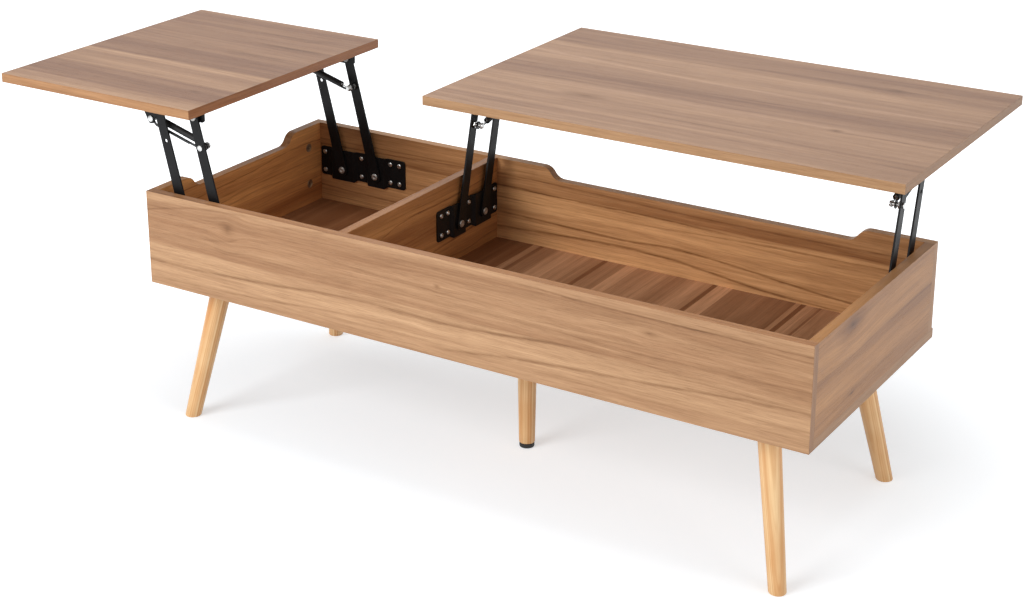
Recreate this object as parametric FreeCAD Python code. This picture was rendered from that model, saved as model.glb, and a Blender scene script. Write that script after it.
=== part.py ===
import FreeCAD, Part
import math
import os
from FreeCAD import Vector

# Convertible coffee table: a box with two storage wells on five round legs, under two tops.
# The small top lifts and moves to the left, the large top lifts and moves to the rear,
# each on a pair of parallel-arm lift mechanisms. Both tops are drawn raised.
# The origin is on the floor under the centre leg, +X along the length, +Y to the rear, +Z up.
# All sizes are in millimetres.

# Boards
board = 15.0
top_length = 1200.0
top_depth = 500.0
top_overhang = 23.0
top_split_share = 1.0 / 3.0
top_seam = 2.0
top_rest_gap = 0.3
rim_height = 395.0
box_height = 157.0
board_rear_lip = 5.6
divider_offset = 2.5

# Hand notches, cut down from the rim with an S-curve at each end
notch_depth = 20.0
notch_run = 36.0
side_notch_floor = 220.0
rear_notch_floor = 504.0

# Lift mechanism: places along the wall from the well's corner, heights below the rim
lead_pivot_place = 53.4
trail_pivot_place = 124.7
pivot_drop = 77.0
arm_reach = 215.0
raised_angle = 104.0
rail_pivot_drop = 12.0

# Hinge plate, a pressed strip: flat pads on the wall, raised lands under the arms
plate_steel = 2.0
plate_start = 3.0
plate_end = 184.0
land_rise = 4.6
land_ramp = 5.0
lead_land = 47.0
trail_land = 35.0
plate_top_drop = 41.5
pad_bottom_drop = 94.0
land_bottom_drop = 97.5
plate_corner = 5.0
single_screw_places = (11.9, 91.1)
paired_screw_places = (153.2, 171.9)
upper_row_drop = 51.3
lower_row_drop = 84.6

# Arms
arm_steel = 3.0
arm_gap = 0.4
arm_base_radius = 10.2
arm_tip_radius = 8.5
spring_hole_reach = 50.5
spring_hole_radius = 3.2

# Pivot rivets
rivet_radius = 4.0
rivet_head_radius = 6.2
rivet_head = 2.0
rivet_tail_radius = 5.8
rivet_tail = 1.6
rivet_shoulder_radius = 6.0
rivet_dome = 1.2
rivet_crown_share = 0.55
running_fit = 0.05
open_pivot_fit = 0.3
head_clear = 0.3

# Top rail, an angle under the top
rail_steel = 2.5
rail_gap = 2.6
rail_flange = 24.0
rail_web = 20.5
rail_lead_end = 58.0
rail_trail_end = 18.0
rail_bend = 2.6
rail_corner = 5.0
ear_place = 22.0
ear_drop = 19.0
ear_radius = 8.0
ear_shoulder = 13.0
rail_screw_ends = 9.0
rail_screw_count = 4

# Sprung stay from the rail's ear to the trailing arm
stud_radius = 3.0
stud_cap = 2.2
stud_cap_radius = 4.2
stud_head = 1.9
stud_head_radius = 5.0
stud_fit = 0.7
spring_radius = 3.6
sleeve_outer = 5.2
sleeve_inner = 3.9
sleeve_end_gap = 10.5
spring_end_gap = 8.5
hook_wire = 1.0
guide_steel = 1.5
guide_height = 3.6
guide_sag = 7.5
guide_neck = 12.0
guide_neck_round = 4.0
guide_eye_radius = 5.0
guide_gap = 0.3
guide_reach_share = 0.74
bolt_head_radius = 4.6
bolt_head = 2.6
bolt_nut_flats = 10.0
bolt_nut = 3.6

# Screws
screw_radius = 2.0
screw_length = 13.0
screw_head_radius = 4.2
screw_head = 1.8
screw_crown_share = 0.6
screw_point_radius = 0.5
screw_fit = 0.1
rail_screw_length = 12.0
floor_screw_length = 40.0
floor_screw_inset = 62.0
edge_fixing_inset = 177.0
countersink = 2.4

# Cam fittings and dowels that hold the panels
cam_radius = 7.5
cam_depth = 12.5
cam_setback = 34.0
upper_cam_drop = 38.0
lower_cam_drop = 105.0
cam_bolt_radius = 3.0
cam_bolt_bury = 10.0
cam_bolt_reach = 3.0
cam_fit = 0.15
dowel_radius = 4.0
dowel_length = 30.0
dowel_bury = 10.0
dowel_drop = 71.5

# Legs
leg_top_radius = 16.0
leg_foot_radius = 11.0
foot_inset_x = 47.0
foot_inset_y = 29.0
leg_top_inset_x = 90.0
leg_top_inset_y = 70.0
leg_plate_size = 64.0
leg_plate_steel = 2.0
leg_plate_corner = 6.0
leg_plate_screw_inset = 9.0
socket_radius = 18.0
socket_thin = 1.5
hanger_radius = 4.0
hanger_bury = 32.0
hanger_rise = 4.0
hanger_fit = 0.1
leg_screw_length = 12.0
foot_pad_radius = 10.5
foot_pad_height = 7.6
foot_gap = 0.4
foot_pad_round = 1.2
foot_stem = 26.0
foot_stem_radius = 4.0

# One overrun serves all cuts, and an edge shorter than this is left out
over = 3.0
least_edge = 0.001

# Worked out from the sizes above
box_length = top_length - top_overhang * 2
box_depth = top_depth - top_overhang * 2
x_left = -box_length / 2
x_right = box_length / 2
y_front = -box_depth / 2
y_rear = box_depth / 2
corner_foot_x = x_right - foot_inset_x
corner_foot_y = y_rear - foot_inset_y
corner_top_x = x_right - leg_top_inset_x
corner_top_y = y_rear - leg_top_inset_y
edge_fixing_pitch = x_right - edge_fixing_inset
z_under = rim_height - box_height
z_floor = z_under + board
well_front = y_front + board
well_rear = y_rear - board
split_x = -top_length / 2 + top_length * top_split_share
divider_left = split_x + divider_offset - board / 2
divider_right = divider_left + board
pivot_height = rim_height - pivot_drop
raised_lean = math.radians(raised_angle)
tip_run = arm_reach * math.cos(raised_lean)
tip_rise = arm_reach * math.sin(raised_lean)
rail_height = pivot_height + tip_rise
raised_under = rail_height + rail_pivot_drop
closed_rise = rim_height + top_rest_gap - rail_pivot_drop - pivot_height
closed_run = math.sqrt(arm_reach ** 2 - closed_rise ** 2)
travel = closed_run - tip_run
land_face = land_rise + plate_steel
arm_near = land_face + arm_gap
arm_far = arm_near + arm_steel
rail_near = arm_far + rail_gap
rail_far = rail_near + rail_steel
guide_near = rail_far + guide_gap
guide_far = guide_near + guide_steel * 2 + guide_gap
spring_plane = guide_far + guide_gap + sleeve_outer
stud_tip = spring_plane + hook_wire + guide_gap + stud_cap

UP = Vector(0, 0, 1)


class Wall:
    """A wall that carries one lift mechanism: u runs along it from the corner, n into the well."""

    def __init__(self, corner, u, n):
        self.corner = corner
        self.u = u
        self.n = n

    def at(self, u, n, z):
        """The point at u along the wall, n out from it and z above the floor."""
        return self.corner + self.u * u + self.n * n + UP * z

    def rod(self, u, z, radius, near, far):
        """A round bar square to the wall."""
        return Part.makeCylinder(radius, far - near, self.at(u, near, z), self.n)

    def sheet(self, edges_of, near, far):
        """A flat piece cut to an outline of (u, z) points, lying between two distances from the wall."""
        def place(u, z):
            return self.at(u, near, z)
        return Part.Face(Part.Wire(edges_of(place))).extrude(self.n * (far - near))


def box(x0, x1, y0, y1, z0, z1):
    return Part.makeBox(x1 - x0, y1 - y0, z1 - z0, Vector(x0, y0, z0))


def cut(body, tools):
    return body.cut(Part.makeCompound(tools)) if tools else body


def rounded_outline(points):
    """Edges of a polygon of (a, b, corner radius), as a function of the placing function."""
    def edges_of(place):
        count = len(points)
        runs = []
        for i in range(count):
            a = Vector(points[i - 1][0], points[i - 1][1], 0)
            b = Vector(points[i][0], points[i][1], 0)
            c = Vector(points[(i + 1) % count][0], points[(i + 1) % count][1], 0)
            radius = points[i][2]
            back = (a - b).normalize()
            ahead = (c - b).normalize()
            if radius == 0:
                runs.append((b, None, b))
                continue
            half = back.getAngle(ahead) / 2
            reach = radius / math.tan(half)
            inward = (back + ahead).normalize()
            middle = b + inward * (radius / math.sin(half) - radius)
            runs.append((b + back * reach, middle, b + ahead * reach))
        edges = []
        for i in range(count):
            start, middle, end = runs[i]
            if middle is not None:
                three = [place(p.x, p.y) for p in (start, middle, end)]
                edges.append(Part.Arc(*three).toShape())
            following = runs[(i + 1) % count][0]
            if (following - end).Length > least_edge:
                edges.append(Part.makeLine(place(end.x, end.y), place(following.x, following.y)))
        return edges
    return edges_of


def link_outline(base, base_radius, tip, tip_radius):
    """Edges of a bar that tapers between two round ends, as a function of the placing function."""
    def edges_of(place):
        along = Vector(tip[0] - base[0], tip[1] - base[1], 0)
        length = along.Length
        heading = math.atan2(along.y, along.x)
        tilt = math.acos((base_radius - tip_radius) / length)

        def on(centre, radius, angle):
            return place(centre[0] + radius * math.cos(angle), centre[1] + radius * math.sin(angle))
        left = heading + tilt
        right = heading - tilt
        return [
            Part.makeLine(on(base, base_radius, right), on(tip, tip_radius, right)),
            Part.Arc(on(tip, tip_radius, right), on(tip, tip_radius, heading), on(tip, tip_radius, left)).toShape(),
            Part.makeLine(on(tip, tip_radius, left), on(base, base_radius, left)),
            Part.Arc(on(base, base_radius, left), on(base, base_radius, heading + math.pi),
                     on(base, base_radius, right)).toShape(),
        ]
    return edges_of


def notch_tool(place, centre, floor_length, through):
    """The piece sawn out of a panel's rim: a straight floor with an S-curve up to the rim at each end."""
    radius = (notch_run ** 2 + notch_depth ** 2) / (notch_depth * 4)
    sweep = math.asin(notch_run / 2 / radius)
    half_rise = radius * (1 - math.cos(sweep / 2))
    half_run = radius * math.sin(sweep / 2)
    low = rim_height - notch_depth
    foot = floor_length / 2
    middle = foot + notch_run / 2
    head = foot + notch_run

    def point(a, z):
        return place(centre + a, z)
    edges = [
        Part.makeLine(point(-foot, low), point(foot, low)),
        Part.Arc(point(foot, low), point(foot + half_run, low + half_rise),
                 point(middle, low + notch_depth / 2)).toShape(),
        Part.Arc(point(middle, low + notch_depth / 2), point(head - half_run, rim_height - half_rise),
                 point(head, rim_height)).toShape(),
        Part.makeLine(point(head, rim_height), point(head, rim_height + over)),
        Part.makeLine(point(head, rim_height + over), point(-head, rim_height + over)),
        Part.makeLine(point(-head, rim_height + over), point(-head, rim_height)),
        Part.Arc(point(-head, rim_height), point(-head + half_run, rim_height - half_rise),
                 point(-middle, low + notch_depth / 2)).toShape(),
        Part.Arc(point(-middle, low + notch_depth / 2), point(-foot - half_run, low + half_rise),
                 point(-foot, low)).toShape(),
    ]
    return Part.Face(Part.Wire(edges)).extrude(through)


def revolved(profile, start, axis):
    """A turned piece: profile is (along, radius) points from its start along the axis."""
    points = [Vector(r, 0, a) for a, r in profile]
    points = [Vector(0, 0, profile[0][0])] + points + [Vector(0, 0, profile[-1][0])]
    face = Part.Face(Part.makePolygon(points + [points[0]]))
    solid = face.revolve(Vector(0, 0, 0), UP, 360)
    turn = FreeCAD.Rotation(UP, axis)
    solid.Placement = FreeCAD.Placement(start, turn)
    return solid


def screw(seat, axis, length, head_radius=screw_head_radius, head=screw_head):
    """A pan-head screw: its head stands on the seat, its shank runs along the axis."""
    crown = head_radius * screw_crown_share
    profile = [(-head, crown), (-head / 2, head_radius), (0, head_radius), (0, screw_radius),
               (length - screw_radius, screw_radius), (length, screw_point_radius)]
    return revolved(profile, seat, axis)


def screw_bore(seat, axis, length):
    return Part.makeCylinder(screw_radius + screw_fit, length + screw_fit, seat, axis)


def hexagon(wall, u, z, flats, near, far):
    """A hexagonal nut square to the wall."""
    radius = flats / math.sqrt(3)
    corners = [(u + radius * math.cos(math.radians(60 * k)), z + radius * math.sin(math.radians(60 * k)), 0)
               for k in range(6)]
    return wall.sheet(rounded_outline(corners), near, far)


def dome(wall, u, z, radius, seat, rise, outward):
    """A low domed head, standing on its seat and rising away from or towards the wall."""
    crown = radius * rivet_crown_share
    profile = [(0, radius), (rise - rivet_dome / 2, radius), (rise, crown)]
    return revolved(profile, wall.at(u, seat, z), wall.n * outward)


# The four walls that carry a mechanism
walls = {
    "small_front": Wall(Vector(x_left + board, well_front, 0), Vector(1, 0, 0), Vector(0, 1, 0)),
    "small_back": Wall(Vector(x_left + board, well_rear, 0), Vector(1, 0, 0), Vector(0, -1, 0)),
    "large_left": Wall(Vector(divider_right, well_rear, 0), Vector(0, -1, 0), Vector(1, 0, 0)),
    "large_right": Wall(Vector(x_right - board, well_rear, 0), Vector(0, -1, 0), Vector(-1, 0, 0)),
}
pivots = (lead_pivot_place, trail_pivot_place)
screw_rows = (rim_height - upper_row_drop, rim_height - lower_row_drop)
screw_places = [(u, z) for u in single_screw_places + paired_screw_places for z in screw_rows]


def hinge_plate(wall):
    """The pressed base plate: pads flat on the wall, two lands standing off it under the arms."""
    lands = [(lead_pivot_place - lead_land / 2, lead_pivot_place + lead_land / 2),
             (trail_pivot_place - trail_land / 2, trail_pivot_place + trail_land / 2)]
    stations = [(plate_start, 0)]
    for start, end in lands:
        stations += [(start - land_ramp, 0), (start, land_rise), (end, land_rise), (end + land_ramp, 0)]
    stations.append((plate_end, 0))
    low = rim_height - land_bottom_drop
    high = rim_height - plate_top_drop
    back = [wall.at(u, n, low) for u, n in stations]
    face = [wall.at(u, n + plate_steel, low) for u, n in reversed(stations)]
    strip = Part.Face(Part.makePolygon(back + face + [back[0]])).extrude(UP * (high - low))
    pad_low = rim_height - pad_bottom_drop
    points = [(plate_start, high, plate_corner), (plate_start, pad_low, plate_corner)]
    for start, end in lands:
        points += [(start - land_ramp, pad_low, 0), (start, low, 0), (end, low, 0), (end + land_ramp, pad_low, 0)]
    points += [(plate_end, pad_low, plate_corner), (plate_end, high, plate_corner)]
    strip = strip.common(wall.sheet(rounded_outline(points), -over, land_face + over))
    holes = [wall.rod(u, z, screw_radius + screw_fit, -over, land_face + over) for u, z in screw_places]
    holes += [wall.rod(u, pivot_height, rivet_radius + running_fit, -over, land_face + over) for u in pivots]
    return cut(strip, holes)


def arm(wall, place, tip_fit, hole_radius):
    """One lift arm: a flat tapered bar with round ends, drawn raised and leaning past upright."""
    base = (place, pivot_height)
    tip = (place + tip_run, pivot_height + tip_rise)
    bar = wall.sheet(link_outline(base, arm_base_radius, tip, arm_tip_radius), arm_near, arm_far)
    hole_share = 1 - spring_hole_reach / arm_reach
    holes = [
        wall.rod(*base, rivet_radius + running_fit, arm_near - over, arm_far + over),
        wall.rod(*tip, rivet_radius + tip_fit, arm_near - over, arm_far + over),
        wall.rod(place + tip_run * hole_share, pivot_height + tip_rise * hole_share, hole_radius,
                 arm_near - over, arm_far + over),
    ]
    return cut(bar, holes)


def base_rivet(wall, place):
    """A pivot rivet in the hinge plate: tail behind the land, head over the arm."""
    head_seat = arm_far + head_clear
    tail = wall.rod(place, pivot_height, rivet_tail_radius, land_rise - rivet_tail, land_rise)
    shank = wall.rod(place, pivot_height, rivet_radius, land_rise, head_seat)
    head = dome(wall, place, pivot_height, rivet_head_radius, head_seat, rivet_head, 1)
    return tail.fuse([shank, head]).removeSplitter()


def rail_rivet(wall, place):
    """A shouldered pivot rivet in the top rail: head on the wall's side of the arm, tail inside the rail."""
    u = place + tip_run
    head_seat = arm_near - head_clear
    head = dome(wall, u, rail_height, rivet_head_radius, head_seat, rivet_head, -1)
    shank = wall.rod(u, rail_height, rivet_radius, head_seat, rail_far)
    shoulder = wall.rod(u, rail_height, rivet_shoulder_radius, arm_far + head_clear, rail_near)
    tail = wall.rod(u, rail_height, rivet_tail_radius, rail_far, rail_far + rivet_tail)
    return head.fuse([shank, shoulder, tail]).removeSplitter()


ear_u = lead_pivot_place + tip_run - ear_place
ear_z = rail_height - ear_drop
rail_start = lead_pivot_place + tip_run - rail_lead_end
rail_stop = trail_pivot_place + tip_run + rail_trail_end
spring_share = 1 - spring_hole_reach / arm_reach
bolt_u = trail_pivot_place + tip_run * spring_share
bolt_z = pivot_height + tip_rise * spring_share
rail_screw_first = rail_start + rail_screw_ends
rail_screw_step = (rail_stop - rail_start - rail_screw_ends * 2) / (rail_screw_count - 1)
rail_screw_n = rail_far + (rail_flange - rail_steel) / 2
rail_screws_at = [rail_screw_first + rail_screw_step * k for k in range(rail_screw_count)]


def top_rail(wall):
    """The angle under the top: a flange screwed to it and a web with the pivots and the spring's ear."""
    web_low = raised_under - rail_web
    ear_low = ear_z - ear_radius
    points = [
        (rail_start, raised_under, 0), (rail_start, web_low, rail_corner),
        (ear_u - ear_shoulder, web_low, 0), (ear_u - ear_radius / 2, ear_low, ear_radius / 2),
        (ear_u + ear_radius / 2, ear_low, ear_radius / 2), (ear_u + ear_shoulder, web_low, 0),
        (rail_stop, web_low, rail_corner), (rail_stop, raised_under, 0),
    ]
    web = wall.sheet(rounded_outline(points), rail_near, rail_far)
    flange_far = rail_near + rail_flange
    flange_points = [(rail_start, rail_near, 0), (rail_stop, rail_near, 0), (rail_stop, flange_far, rail_corner),
                     (rail_start, flange_far, rail_corner)]

    def place(u, n):
        return wall.at(u, n, raised_under - rail_steel)
    flange = Part.Face(Part.Wire(rounded_outline(flange_points)(place))).extrude(UP * rail_steel)
    fillet_block = Part.Face(Part.makePolygon([
        wall.at(rail_start + rail_corner, rail_far, raised_under - rail_steel),
        wall.at(rail_start + rail_corner, rail_far + rail_bend, raised_under - rail_steel),
        wall.at(rail_start + rail_corner, rail_far, raised_under - rail_steel - rail_bend),
        wall.at(rail_start + rail_corner, rail_far, raised_under - rail_steel),
    ])).extrude(wall.u * (rail_stop - rail_start - rail_corner * 2))
    angle = web.fuse([flange, fillet_block]).removeSplitter()
    holes = [wall.rod(p + tip_run, rail_height, rivet_radius + running_fit, rail_near - over, rail_far + over)
             for p in pivots]
    holes.append(wall.rod(ear_u, ear_z, stud_radius + running_fit, rail_near - over, rail_far + over))
    holes += [Part.makeCylinder(screw_radius + screw_fit, rail_steel + over * 2,
                                wall.at(u, rail_screw_n, raised_under - rail_steel - over), UP)
              for u in rail_screws_at]
    return cut(angle, holes)


def ear_stud(wall):
    """The pin in the rail's ear that holds the spring's upper hook: a low head and a cap at its end."""
    head = dome(wall, ear_u, ear_z, stud_head_radius, rail_near, stud_head, -1)
    shank = wall.rod(ear_u, ear_z, stud_radius, rail_near, stud_tip - stud_cap)
    cap = dome(wall, ear_u, ear_z, stud_cap_radius, stud_tip - stud_cap, stud_cap, 1)
    return head.fuse([shank, cap]).removeSplitter()


def spring_bolt(wall):
    """The bolt through the trailing arm that holds the spring's lower hook: bolt and nut."""
    head = dome(wall, bolt_u, bolt_z, bolt_head_radius, arm_near, bolt_head, -1)
    shank = wall.rod(bolt_u, bolt_z, stud_radius, arm_near, stud_tip - stud_cap)
    cap = dome(wall, bolt_u, bolt_z, stud_cap_radius, stud_tip - stud_cap, stud_cap, 1)
    bolt = head.fuse([shank, cap]).removeSplitter()
    nut = hexagon(wall, bolt_u, bolt_z, bolt_nut_flats, arm_far, arm_far + bolt_nut)
    nut = nut.cut(wall.rod(bolt_u, bolt_z, stud_radius + running_fit, arm_far - over, arm_far + bolt_nut + over))
    return [bolt, nut]


def stay_line(wall, n):
    """The line from the ear's pin to the arm's bolt, at one distance from the wall."""
    start = wall.at(ear_u, n, ear_z)
    end = wall.at(bolt_u, n, bolt_z)
    return start, end, (end - start).normalize(), (end - start).Length


def lift_spring(wall):
    """The spring: a close-wound coil with a straight wire and an eye at each end."""
    start, end, along, length = stay_line(wall, spring_plane)
    coil = Part.makeCylinder(spring_radius, length - spring_end_gap * 2, start + along * spring_end_gap, along)
    clear = stud_radius + stud_fit + hook_wire
    shapes = [Part.makeTorus(clear, hook_wire, pin, wall.n) for pin in (start, end)]
    shapes += [Part.makeCylinder(hook_wire, spring_end_gap - clear + hook_wire, start + along * clear, along),
               Part.makeCylinder(hook_wire, spring_end_gap - clear + hook_wire, end - along * clear, along * -1)]
    return coil.fuse(shapes)


def spring_sleeve(wall):
    """The rubber sleeve over the coil."""
    start, end, along, length = stay_line(wall, spring_plane)
    run = length - sleeve_end_gap * 2
    outer = Part.makeCylinder(sleeve_outer, run, start + along * sleeve_end_gap, along)
    return outer.cut(Part.makeCylinder(sleeve_inner, run + over * 2, start + along * (sleeve_end_gap - over), along))


def guide_wires(wall):
    """Two flat wires below the spring, one from each pin, that slide past each other as it changes length."""
    pieces = []
    span = math.hypot(bolt_u - ear_u, bolt_z - ear_z)
    along = ((bolt_u - ear_u) / span, (bolt_z - ear_z) / span)
    down = (along[1], -along[0])
    reach = span * guide_reach_share
    for (u, z), way, near in (((ear_u, ear_z), 1, guide_near),
                              ((bolt_u, bolt_z), -1, guide_near + guide_steel + guide_gap)):
        def spot(run, drop):
            return (u + along[0] * run * way + down[0] * drop, z + along[1] * run * way + down[1] * drop)
        high = guide_sag - guide_height / 2
        low = guide_sag + guide_height / 2
        corners = [spot(0, 0), spot(guide_neck, high), spot(reach, high), spot(reach, low),
                   spot(guide_neck - guide_height / 2, low), spot(0, guide_eye_radius)]
        rounding = (0, guide_neck_round, guide_height / 3, guide_height / 3, guide_neck_round, 0)
        strip = wall.sheet(rounded_outline([(a, b, r) for (a, b), r in zip(corners, rounding)]),
                           near, near + guide_steel)
        ring = wall.rod(u, z, guide_eye_radius, near, near + guide_steel)
        bore = wall.rod(u, z, stud_radius + stud_fit, near - over, near + guide_steel + over)
        pieces.append(ring.fuse(strip).removeSplitter().cut(bore))
    return pieces


def plate_screws(wall):
    return [screw(wall.at(u, plate_steel, z), wall.n * -1, screw_length) for u, z in screw_places]


def plate_screw_bores(name):
    wall = walls[name]
    return [screw_bore(wall.at(u, plate_steel, z), wall.n * -1, screw_length) for u, z in screw_places]


# Panel joints: each cross panel meets the front and the rear panel with two cam fittings and a dowel
cross_panels = {
    "left_end_panel": (x_left, x_left + board, 1),
    "divider": (divider_left, divider_right, -1),
    "right_end_panel": (x_right - board, x_right, -1),
}
cam_heights = (rim_height - upper_cam_drop, rim_height - lower_cam_drop)
dowel_height = rim_height - dowel_drop


def joint_ends():
    """Each cross panel's two ends: middle of its thickness, the face that it meets, and the way out of it."""
    for name, (x0, x1, side) in cross_panels.items():
        for y, way in ((well_front, -1), (well_rear, 1)):
            yield name, (x0 + x1) / 2, x0, x1, side, y, way


cam_locks, cam_bolts, dowels = [], [], []
cross_bores = {name: [] for name in cross_panels}
front_bores, rear_bores = [], []
for name, middle, x0, x1, side, y, way in joint_ends():
    long_bores = rear_bores if way > 0 else front_bores
    out = Vector(0, way, 0)
    inner = x1 if side > 0 else x0
    for z in cam_heights:
        centre_y = y - way * cam_setback
        into = Vector(-side, 0, 0)
        face_point = Vector(inner, centre_y, z)
        bolt_reach = cam_setback - cam_radius + cam_bolt_reach
        bolt_start = Vector(middle, y - way * bolt_reach, z)
        bolt = Part.makeCylinder(cam_bolt_radius, bolt_reach + cam_bolt_bury, bolt_start, out)
        bolt_bore = Part.makeCylinder(cam_bolt_radius + cam_fit, bolt_reach + cam_bolt_bury + cam_fit,
                                      bolt_start - out * cam_fit, out)
        cam = Part.makeCylinder(cam_radius, cam_depth, face_point, into).cut(bolt_bore)
        cam_locks.append(cam)
        cam_bolts.append(bolt)
        cross_bores[name] += [Part.makeCylinder(cam_radius + cam_fit, cam_depth + cam_fit, face_point, into), bolt_bore]
        long_bores.append(bolt_bore)
    dowel_start = Vector(middle, y - way * (dowel_length - dowel_bury), dowel_height)
    dowels.append(Part.makeCylinder(dowel_radius, dowel_length, dowel_start, out))
    dowel_bore = Part.makeCylinder(dowel_radius + cam_fit, dowel_length + cam_fit * 2, dowel_start - out * cam_fit, out)
    cross_bores[name].append(dowel_bore)
    long_bores.append(dowel_bore)

# Dowels between the bottom board's front edge and the front panel, screws up through the bottom board
floor_bores = []
for k in (-1, 0, 1):
    start = Vector(edge_fixing_pitch * k, well_front + dowel_length - dowel_bury, z_under + board / 2)
    dowels.append(Part.makeCylinder(dowel_radius, dowel_length, start, Vector(0, -1, 0)))
    bore = Part.makeCylinder(dowel_radius + cam_fit, dowel_length + cam_fit * 2, start + Vector(0, cam_fit, 0),
                             Vector(0, -1, 0))
    floor_bores.append(bore)
    front_bores.append(bore)
floor_screws = []
cross_reach = well_rear - floor_screw_inset
floor_screw_places = [((x0 + x1) / 2, cross_reach * k, name) for name, (x0, x1, side) in cross_panels.items()
                      for k in (-1, 0, 1)]
floor_screw_places += [(edge_fixing_pitch * k, y_rear - board / 2, "back_panel") for k in (-1, 0, 1)]
for x, y, name in floor_screw_places:
    profile = [(0, screw_head_radius), (countersink, screw_radius),
               (floor_screw_length - screw_radius, screw_radius), (floor_screw_length, screw_point_radius)]
    floor_screws.append(revolved(profile, Vector(x, y, z_under), UP))
    sink = [(-over, screw_head_radius + screw_fit), (0, screw_head_radius + screw_fit),
            (countersink, screw_radius + screw_fit), (floor_screw_length + screw_fit, screw_radius + screw_fit)]
    bore = revolved(sink, Vector(x, y, z_under), UP)
    floor_bores.append(bore)
    (rear_bores if name == "back_panel" else cross_bores[name]).append(bore)

# Box panels
front_panel = box(x_left, x_right, y_front, well_front, z_under, rim_height)
front_panel = cut(front_panel, front_bores + plate_screw_bores("small_front"))
back_panel = box(x_left, x_right, well_rear, y_rear, z_floor, rim_height)
right_well_middle = (divider_right + x_right - board) / 2
rear_notch = notch_tool(lambda a, z: Vector(a, well_rear - over, z), right_well_middle, rear_notch_floor,
                        Vector(0, board + over * 2, 0))
back_panel = cut(back_panel, rear_bores + plate_screw_bores("small_back") + [rear_notch])
cross = {name: box(x0, x1, well_front, well_rear, z_floor, rim_height)
         for name, (x0, x1, side) in cross_panels.items()}
side_notch = notch_tool(lambda a, z: Vector(x_left - over, a, z), 0, side_notch_floor, Vector(board + over * 2, 0, 0))
left_end_panel = cut(cross["left_end_panel"], cross_bores["left_end_panel"] + [side_notch])
divider = cut(cross["divider"], cross_bores["divider"] + plate_screw_bores("large_left"))
right_end_panel = cut(cross["right_end_panel"], cross_bores["right_end_panel"] + plate_screw_bores("large_right"))

# Legs: four splayed at the corners on angled plates, one upright in the middle on a levelling foot
corners = {"front_left_leg": (-1, -1), "front_right_leg": (1, -1), "back_left_leg": (-1, 1), "back_right_leg": (1, 1)}
corner_legs, corner_plates, leg_screws, hangers, leg_bores = {}, [], [], [], []


def leg_plate_blank(x, y):
    half = leg_plate_size / 2
    points = [(x - half, y - half, leg_plate_corner), (x + half, y - half, leg_plate_corner),
              (x + half, y + half, leg_plate_corner), (x - half, y + half, leg_plate_corner)]

    def place(a, b):
        return Vector(a, b, z_under - leg_plate_steel)
    return Part.Face(Part.Wire(rounded_outline(points)(place))).extrude(UP * leg_plate_steel)


def leg_plate_fixings(x, y):
    """Four screws at a leg plate's corners, with their holes in the plate and in the board."""
    reach = leg_plate_size / 2 - leg_plate_screw_inset
    for sx in (-1, 1):
        for sy in (-1, 1):
            seat = Vector(x + reach * sx, y + reach * sy, z_under - leg_plate_steel)
            leg_screws.append(screw(seat, UP, leg_screw_length))
            leg_bores.append(screw_bore(seat, UP, leg_screw_length))


splay = math.atan(math.hypot(corner_foot_x - corner_top_x, corner_foot_y - corner_top_y)
                  / (z_under - leg_plate_steel - socket_thin))
leg_top_z = z_under - leg_plate_steel - socket_thin - socket_radius * math.sin(splay)
for name, (sx, sy) in corners.items():
    top = Vector(corner_top_x * sx, corner_top_y * sy, leg_top_z)
    foot = Vector(corner_foot_x * sx, corner_foot_y * sy, 0)
    down = (foot - top).normalize()
    length = (foot - top).Length
    slope = (leg_top_radius - leg_foot_radius) / length
    blank = Part.makeCone(leg_top_radius, leg_foot_radius - slope * leg_foot_radius, length + leg_foot_radius, top, down)
    below = box(foot.x - leg_plate_size, foot.x + leg_plate_size, foot.y - leg_plate_size,
                foot.y + leg_plate_size, -leg_plate_size, 0)
    hanger_bore = Part.makeCylinder(hanger_radius + hanger_fit, hanger_bury + hanger_fit + over,
                                    top - down * over, down)
    corner_legs[name] = blank.cut(below).cut(hanger_bore)
    hangers.append(Part.makeCylinder(hanger_radius, hanger_bury + hanger_rise, top - down * hanger_rise, down))
    socket = Part.makeCylinder(socket_radius, leg_plate_size, top, down * -1)
    room = box(top.x - leg_plate_size, top.x + leg_plate_size, top.y - leg_plate_size, top.y + leg_plate_size,
               leg_top_z - leg_plate_size, z_under - leg_plate_steel)
    plate = leg_plate_blank(top.x, top.y).fuse(socket.common(room)).removeSplitter()
    leg_plate_fixings(top.x, top.y)
    socket_bore = Part.makeCylinder(hanger_radius + hanger_fit, hanger_rise + hanger_fit, top, down * -1)
    corner_plates.append(plate.cut(socket_bore))

centre_top = z_under - leg_plate_steel - socket_thin * 2
centre_bottom = foot_pad_height + foot_gap
centre_blank = Part.makeCone(leg_foot_radius, leg_top_radius, centre_top - centre_bottom, Vector(0, 0, centre_bottom), UP)
stem_bore = Part.makeCylinder(foot_stem_radius + running_fit, foot_stem + over, Vector(0, 0, centre_bottom - over), UP)
centre_hanger_bore = Part.makeCylinder(hanger_radius + hanger_fit, hanger_bury + hanger_fit + over,
                                       Vector(0, 0, centre_top + over), UP * -1)
centre_leg = centre_blank.cut(stem_bore).cut(centre_hanger_bore)
centre_hanger_rise = socket_thin * 2
hangers.append(Part.makeCylinder(hanger_radius, hanger_bury + centre_hanger_rise,
                                 Vector(0, 0, centre_top + centre_hanger_rise), UP * -1))
centre_boss = Part.makeCylinder(socket_radius, socket_thin * 2, Vector(0, 0, centre_top), UP)
centre_plate = leg_plate_blank(0, 0).fuse(centre_boss).removeSplitter()
centre_plate = centre_plate.cut(Part.makeCylinder(hanger_radius + hanger_fit, centre_hanger_rise + hanger_fit,
                                                  Vector(0, 0, centre_top), UP))
leg_plate_fixings(0, 0)
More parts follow.
